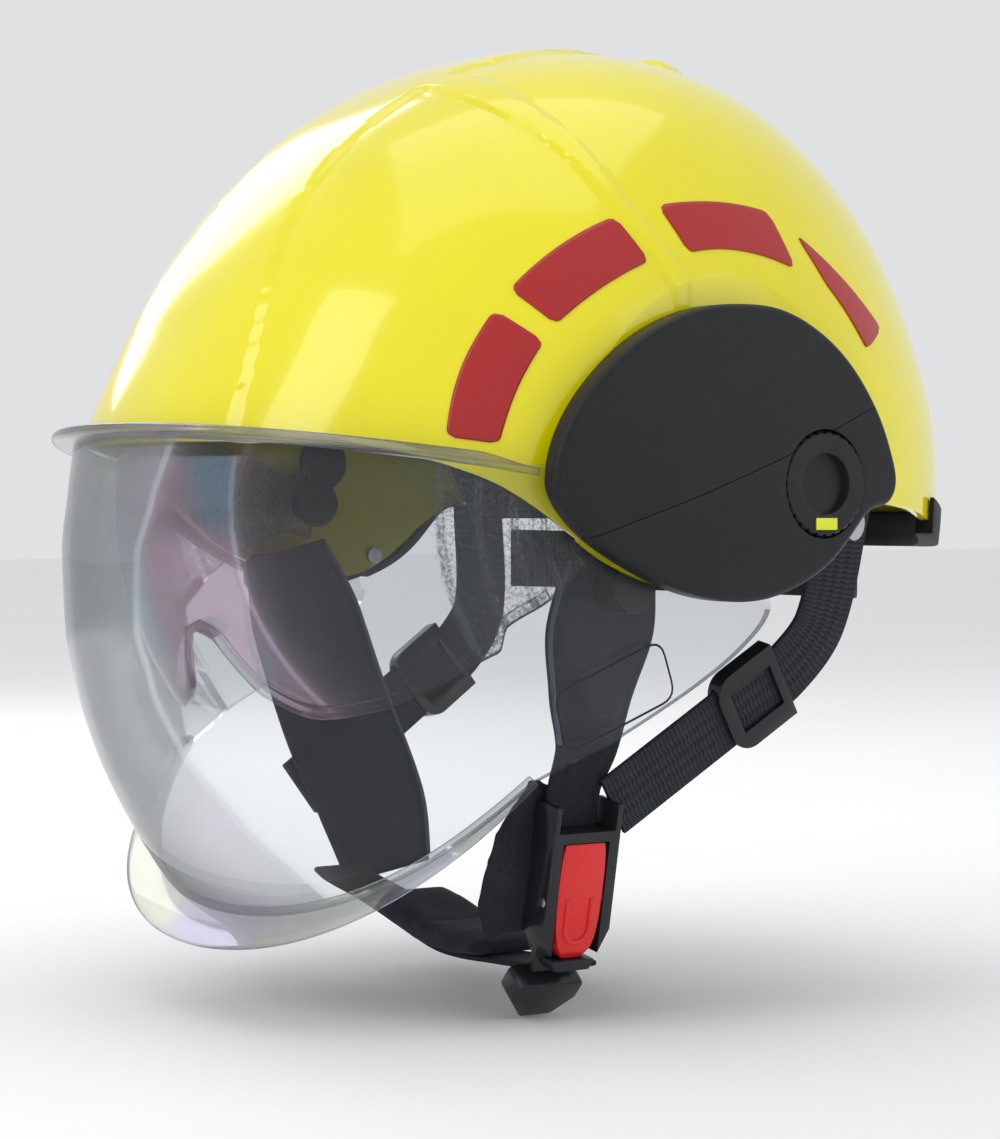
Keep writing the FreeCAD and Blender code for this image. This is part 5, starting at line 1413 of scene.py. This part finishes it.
        def way(share: float) -> tuple[Vector, Vector, Vector]:
            """Centre of the chin strap."""
            at, ahead = line(share), line.heading(share)
            up = Vector((ahead.y, 0, -ahead.x)) if ahead.x < 0 else Vector((-ahead.y, 0, ahead.x))
            return spot(at.x, 14, at.y) - up * MM, Vector((0, -1, 0)), up

        profile = pill(self.web / 2, self.web_thick / 2 * 0.95, 7.0)
        piece = Bench.bar("chin_webbing", way, profile, 28, 90)
        Bench.scale_uv(piece, 44, line.length)
        self.dresser.hand_over(piece, "chin_strap")


@dataclass
class Pads:
    """Foam pads that are blown up as cloth from a slightly smaller start."""

    dresser: Dresser
    voxel: float = 2.6
    shrink: float = 1.0
    cap: float = 1.9
    frames: int = 18

    def pad(self, node: str, fill: float, seams: int = 0) -> None:
        """Makes one pad from its CAD solid.

        Args:
            node: The plain solid.
            fill: How full the pad is; not used.
            seams: Channels sewn across it.
        """
        source = frame["nodes"][node]
        piece = bpy.data.objects.new(node + "_soft", source.data.copy())
        bpy.context.scene.collection.objects.link(piece)
        Bench.whole(piece, lambda: bpy.ops.mesh.remove_doubles(threshold=2e-6))
        Bench.finish(piece, "REMESH", mode="VOXEL", voxel_size=self.voxel * MM)
        Bench.finish(piece, "DISPLACE", strength=-self.shrink * MM, mid_level=0.0)
        self.blow_up(piece)
        Bench.finish(piece, "SMOOTH", factor=0.5, iterations=3)
        if seams:
            self.sew(piece, seams)
        Bench.finish(piece, "SUBSURF", levels=1, render_levels=1)
        Bench.smooth(piece, 180.0)
        self.dresser.hand_over(piece, node)

    def blow_up(self, piece: bpy.types.Object) -> None:
        """Runs cloth with pressure and caps how far each point moves."""
        rest = [corner.co.copy() for corner in piece.data.vertices]
        Bench.alone(piece)
        cloth = piece.modifiers.new("cloth", "CLOTH")
        cloth.settings.use_pressure = True
        cloth.settings.uniform_pressure_force = 4.0
        cloth.settings.effector_weights.gravity = 0.0
        cloth.settings.quality = 4
        cloth.point_cache.frame_end = self.frames
        scene = bpy.context.scene
        for number in range(1, self.frames + 1):
            scene.frame_set(number)
        bpy.ops.object.modifier_apply(modifier=cloth.name)
        scene.frame_set(1)
        for corner, start in zip(piece.data.vertices, rest):
            move = corner.co - start
            if move.length > self.cap * MM:
                corner.co = start + move.normalized() * self.cap * MM

    def sew(self, piece: bpy.types.Object, seams: int) -> None:
        """Presses sewn channels across a pad, evenly along its width."""
        low = min(corner.co.x for corner in piece.data.vertices)
        high = max(corner.co.x for corner in piece.data.vertices)
        normals = [corner.normal.copy() for corner in piece.data.vertices]
        pitch = (high - low) / (seams + 1)
        for corner, normal in zip(piece.data.vertices, normals):
            place = (corner.co.x - low) / pitch
            nearest = round(place)
            if 0 < nearest <= seams:
                away = abs(place - nearest) * pitch / MM
                corner.co -= normal * 0.9 * MM * math.exp(-(away / 1.6) ** 2)

    def build(self) -> None:
        """Makes all four pads."""
        self.pad("brow_pad", 0.7, seams=6)
        self.pad("nape_pad", 0.6, seams=3)
        self.pad("chin_cup", 0.7)
        self.pad("buckle_flap", 0.5)


@dataclass
class Buckle:
    """Quick-release buckle, lever with its raised rib, webbing block and keepers."""

    dresser: Dresser
    forward: float = 27.5
    up: float = -128.5
    face: float = 10.7

    def on_lever(self, across: float, along: float, out: float = 0.0) -> Vector:
        """Point over the lever's outer face: across towards the front, along up the slope."""
        plane = StrapPlane(Side.LEFT)
        return plane.at(self.forward + across, self.up + along * math.cos(plane.tilt), self.face + out)

    def lever_outline(self) -> bpy.types.Object:
        """Side outline of the lever, with round shoulders and a tapered foot."""
        low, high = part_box("buckle_lever")
        back, front = -high.y / MM, -low.y / MM
        foot, top = low.z / MM, high.z / MM
        middle = (back + front) / 2
        corners = [(middle, top + 1), (front - 2.5, top + 1), (front, top - 2.5), (front, foot + 9),
                   (front - 3.2, foot + 0.4), (middle, foot - 0.4), (back + 3.2, foot + 0.4),
                   (back, foot + 9), (back, top - 2.5), (back + 2.5, top + 1), (middle, top + 1)]
        return Bench.prism("lever_cutter", soften(corners, 2)[:-1], 150.0)

    def rib(self) -> bpy.types.Object:
        """Raised U that the thumb finds on the lower half of the lever."""
        half, top, bottom = 4.4, 1.0, -12.5
        legs = [(-half, top), (-half, -4), (-half, -8.5)]
        base = [(half * math.sin(math.radians(a)), bottom + half - half * math.cos(math.radians(a)))
                for a in range(-75, 76, 15)]
        line = Line(legs + base + [(half, -8.5), (half, -4), (half, top)])
        out = StrapPlane(Side.LEFT).outwards()

        def way(share: float) -> tuple[Vector, Vector, Vector]:
            """Centre of the rib."""
            at, ahead = line(share), line.heading(share)
            across = self.on_lever(at.x - ahead.y, at.y + ahead.x) - self.on_lever(at.x, at.y)
            return self.on_lever(at.x, at.y), across.normalized(), out

        return Bench.bar("lever_rib", way, pill(0.75, 0.65, 2.4), 10, 80)

    def build(self) -> None:
        """Finishes the buckle's rigid pieces."""
        self.dresser.polish("buckle_housing", 0.9)
        self.dresser.polish("buckle_lever", 0.7, extra=[self.rib()], inside=self.lever_outline())
        for node, rounding in (("buckle_pin", 0.25), ("buckle_tongue", 0.3), ("chin_slider", 0.9)):
            self.dresser.polish(node, rounding)
        for side in Side:
            for node in ("strap_slider", "strap_anchor"):
                self.dresser.polish(f"{node}_{side.name.lower()}", 0.5)


@dataclass
class EarCovers:
    """Ear covers with their dials."""

    dresser: Dresser

    def build(self) -> None:
        """Finishes both covers, dials and inserts."""
        for side in Side:
            word = side.name.lower()
            for cover in ("cover_upper", "cover_lower"):
                self.dresser.polish(f"{cover}_{word}", 0.25, angle=50.0)
            self.dresser.polish(f"lamp_dial_{word}", 0.3)
            self.dresser.polish(f"dial_insert_{word}", 0.15)


@dataclass
class Inside:
    """Liner, headband and ratchet."""

    dresser: Dresser

    def build(self) -> None:
        """Finishes the rigid inner pieces."""
        self.dresser.polish("protective_liner", 0.0)
        for band in ("headband_front", "headband_rear"):
            self.dresser.polish(band, 0.3)
        self.dresser.polish("ratchet_housing", 0.3, angle=50.0)
        self.dresser.polish("ratchet_knob", 0.3)


@dataclass
class Studio:
    """Plain pale floor, soft lights and the camera at the photograph's angle."""

    azimuth: float = 55.0
    elevation: float = 1.2
    distance: float = 1020.0
    lens: float = 101.23
    aside: float = 1.5
    target_up: float = -34.8
    pale: float = 0.93

    def light(self, name: str, place: Vector, size: float, power: float, tall: float = 1.0) -> None:
        """Adds one soft light that looks at the helmet."""
        bpy.ops.object.select_all(action="DESELECT")
        bpy.ops.object.light_add(type="AREA", location=place)
        lamp = bpy.context.active_object
        lamp.name = name
        lamp.data.shape = "RECTANGLE"
        lamp.data.size = size
        lamp.data.size_y = size * tall
        lamp.data.energy = power
        lamp.rotation_euler = (-place).to_track_quat("-Z", "Y").to_euler()

    def build(self) -> None:
        """Makes floor, world, lights and camera."""
        lowest = CAD_BOX[0][2]
        bpy.ops.object.select_all(action="DESELECT")
        bpy.ops.mesh.primitive_plane_add(size=14.0, location=(0, 0, lowest - 0.0005))
        floor = bpy.context.active_object
        floor.name = "studio_floor"
        g = Graph("studio_floor_paint")
        soft = g.noise(g.place(), 3.0, 2.0).ramp(0.3, 0.7, 0.0, 1.0)
        tone = g.mix(soft, (self.pale,) * 3, (self.pale * 0.985,) * 3)
        floor.data.materials.append(g.close(g.skin(Base_Color=tone, Roughness=1.0, Specular_IOR_Level=0.0)))
        world = bpy.data.worlds.new("studio_world")
        world.use_nodes = True
        backdrop = world.node_tree.nodes["Background"]
        backdrop.inputs["Color"].default_value = (0.93, 0.94, 0.96, 1.0)
        backdrop.inputs["Strength"].default_value = 0.8
        bpy.context.scene.world = world
        a, e = math.radians(self.azimuth), math.radians(self.elevation)
        back = Vector((math.sin(a) * math.cos(e), -math.cos(a) * math.cos(e), math.sin(e)))
        right = Vector((math.cos(a), math.sin(a), 0))
        target = (right * self.aside + Vector((0, 0, self.target_up))) * MM
        self.light("window_front", target + back * 0.9 - right * 1.1 + Vector((0, 0, 0.9)), 0.7, 5.5, 1.6)
        self.light("window_back", target - back * 1.0 - right * 0.7 + Vector((0, 0, 0.8)), 0.6, 4.5, 1.4)
        self.light("soft_top", target + Vector((0, 0, 1.6)), 1.4, 5.0)
        self.light("fill_right", target + back * 0.8 + right * 1.5 + Vector((0, 0, 0.5)), 1.0, 2.0)
        bpy.ops.object.camera_add(location=target + back * self.distance * MM)
        camera = bpy.context.active_object
        camera.name = "photo_camera"
        camera.rotation_euler = (-back).to_track_quat("-Z", "Y").to_euler()
        camera.data.lens = self.lens
        camera.data.sensor_width = 36.0
        camera.data.sensor_fit = "AUTO"
        camera.data.clip_start = 0.05
        bpy.context.scene.camera = camera
        bpy.context.scene.view_settings.view_transform = "Standard"


def main() -> None:
    """Builds the helmet's sub-assemblies in order, then the studio."""
    logging.basicConfig(level=logging.INFO, format="%(name)s %(message)s")
    dresser = Dresser()
    for node in frame["nodes"]:
        dresser.carry(node)
    shell = OuterShell(dresser)
    shell.build()
    shell.cradle()
    FaceShield(dresser).build()
    EyeVisor(dresser).build()
    EarCovers(dresser).build()
    Inside(dresser).build()
    Straps(dresser).build()
    Buckle(dresser).build()
    Pads(dresser).build()
    Studio().build()


if __name__ == "__main__":
    main()
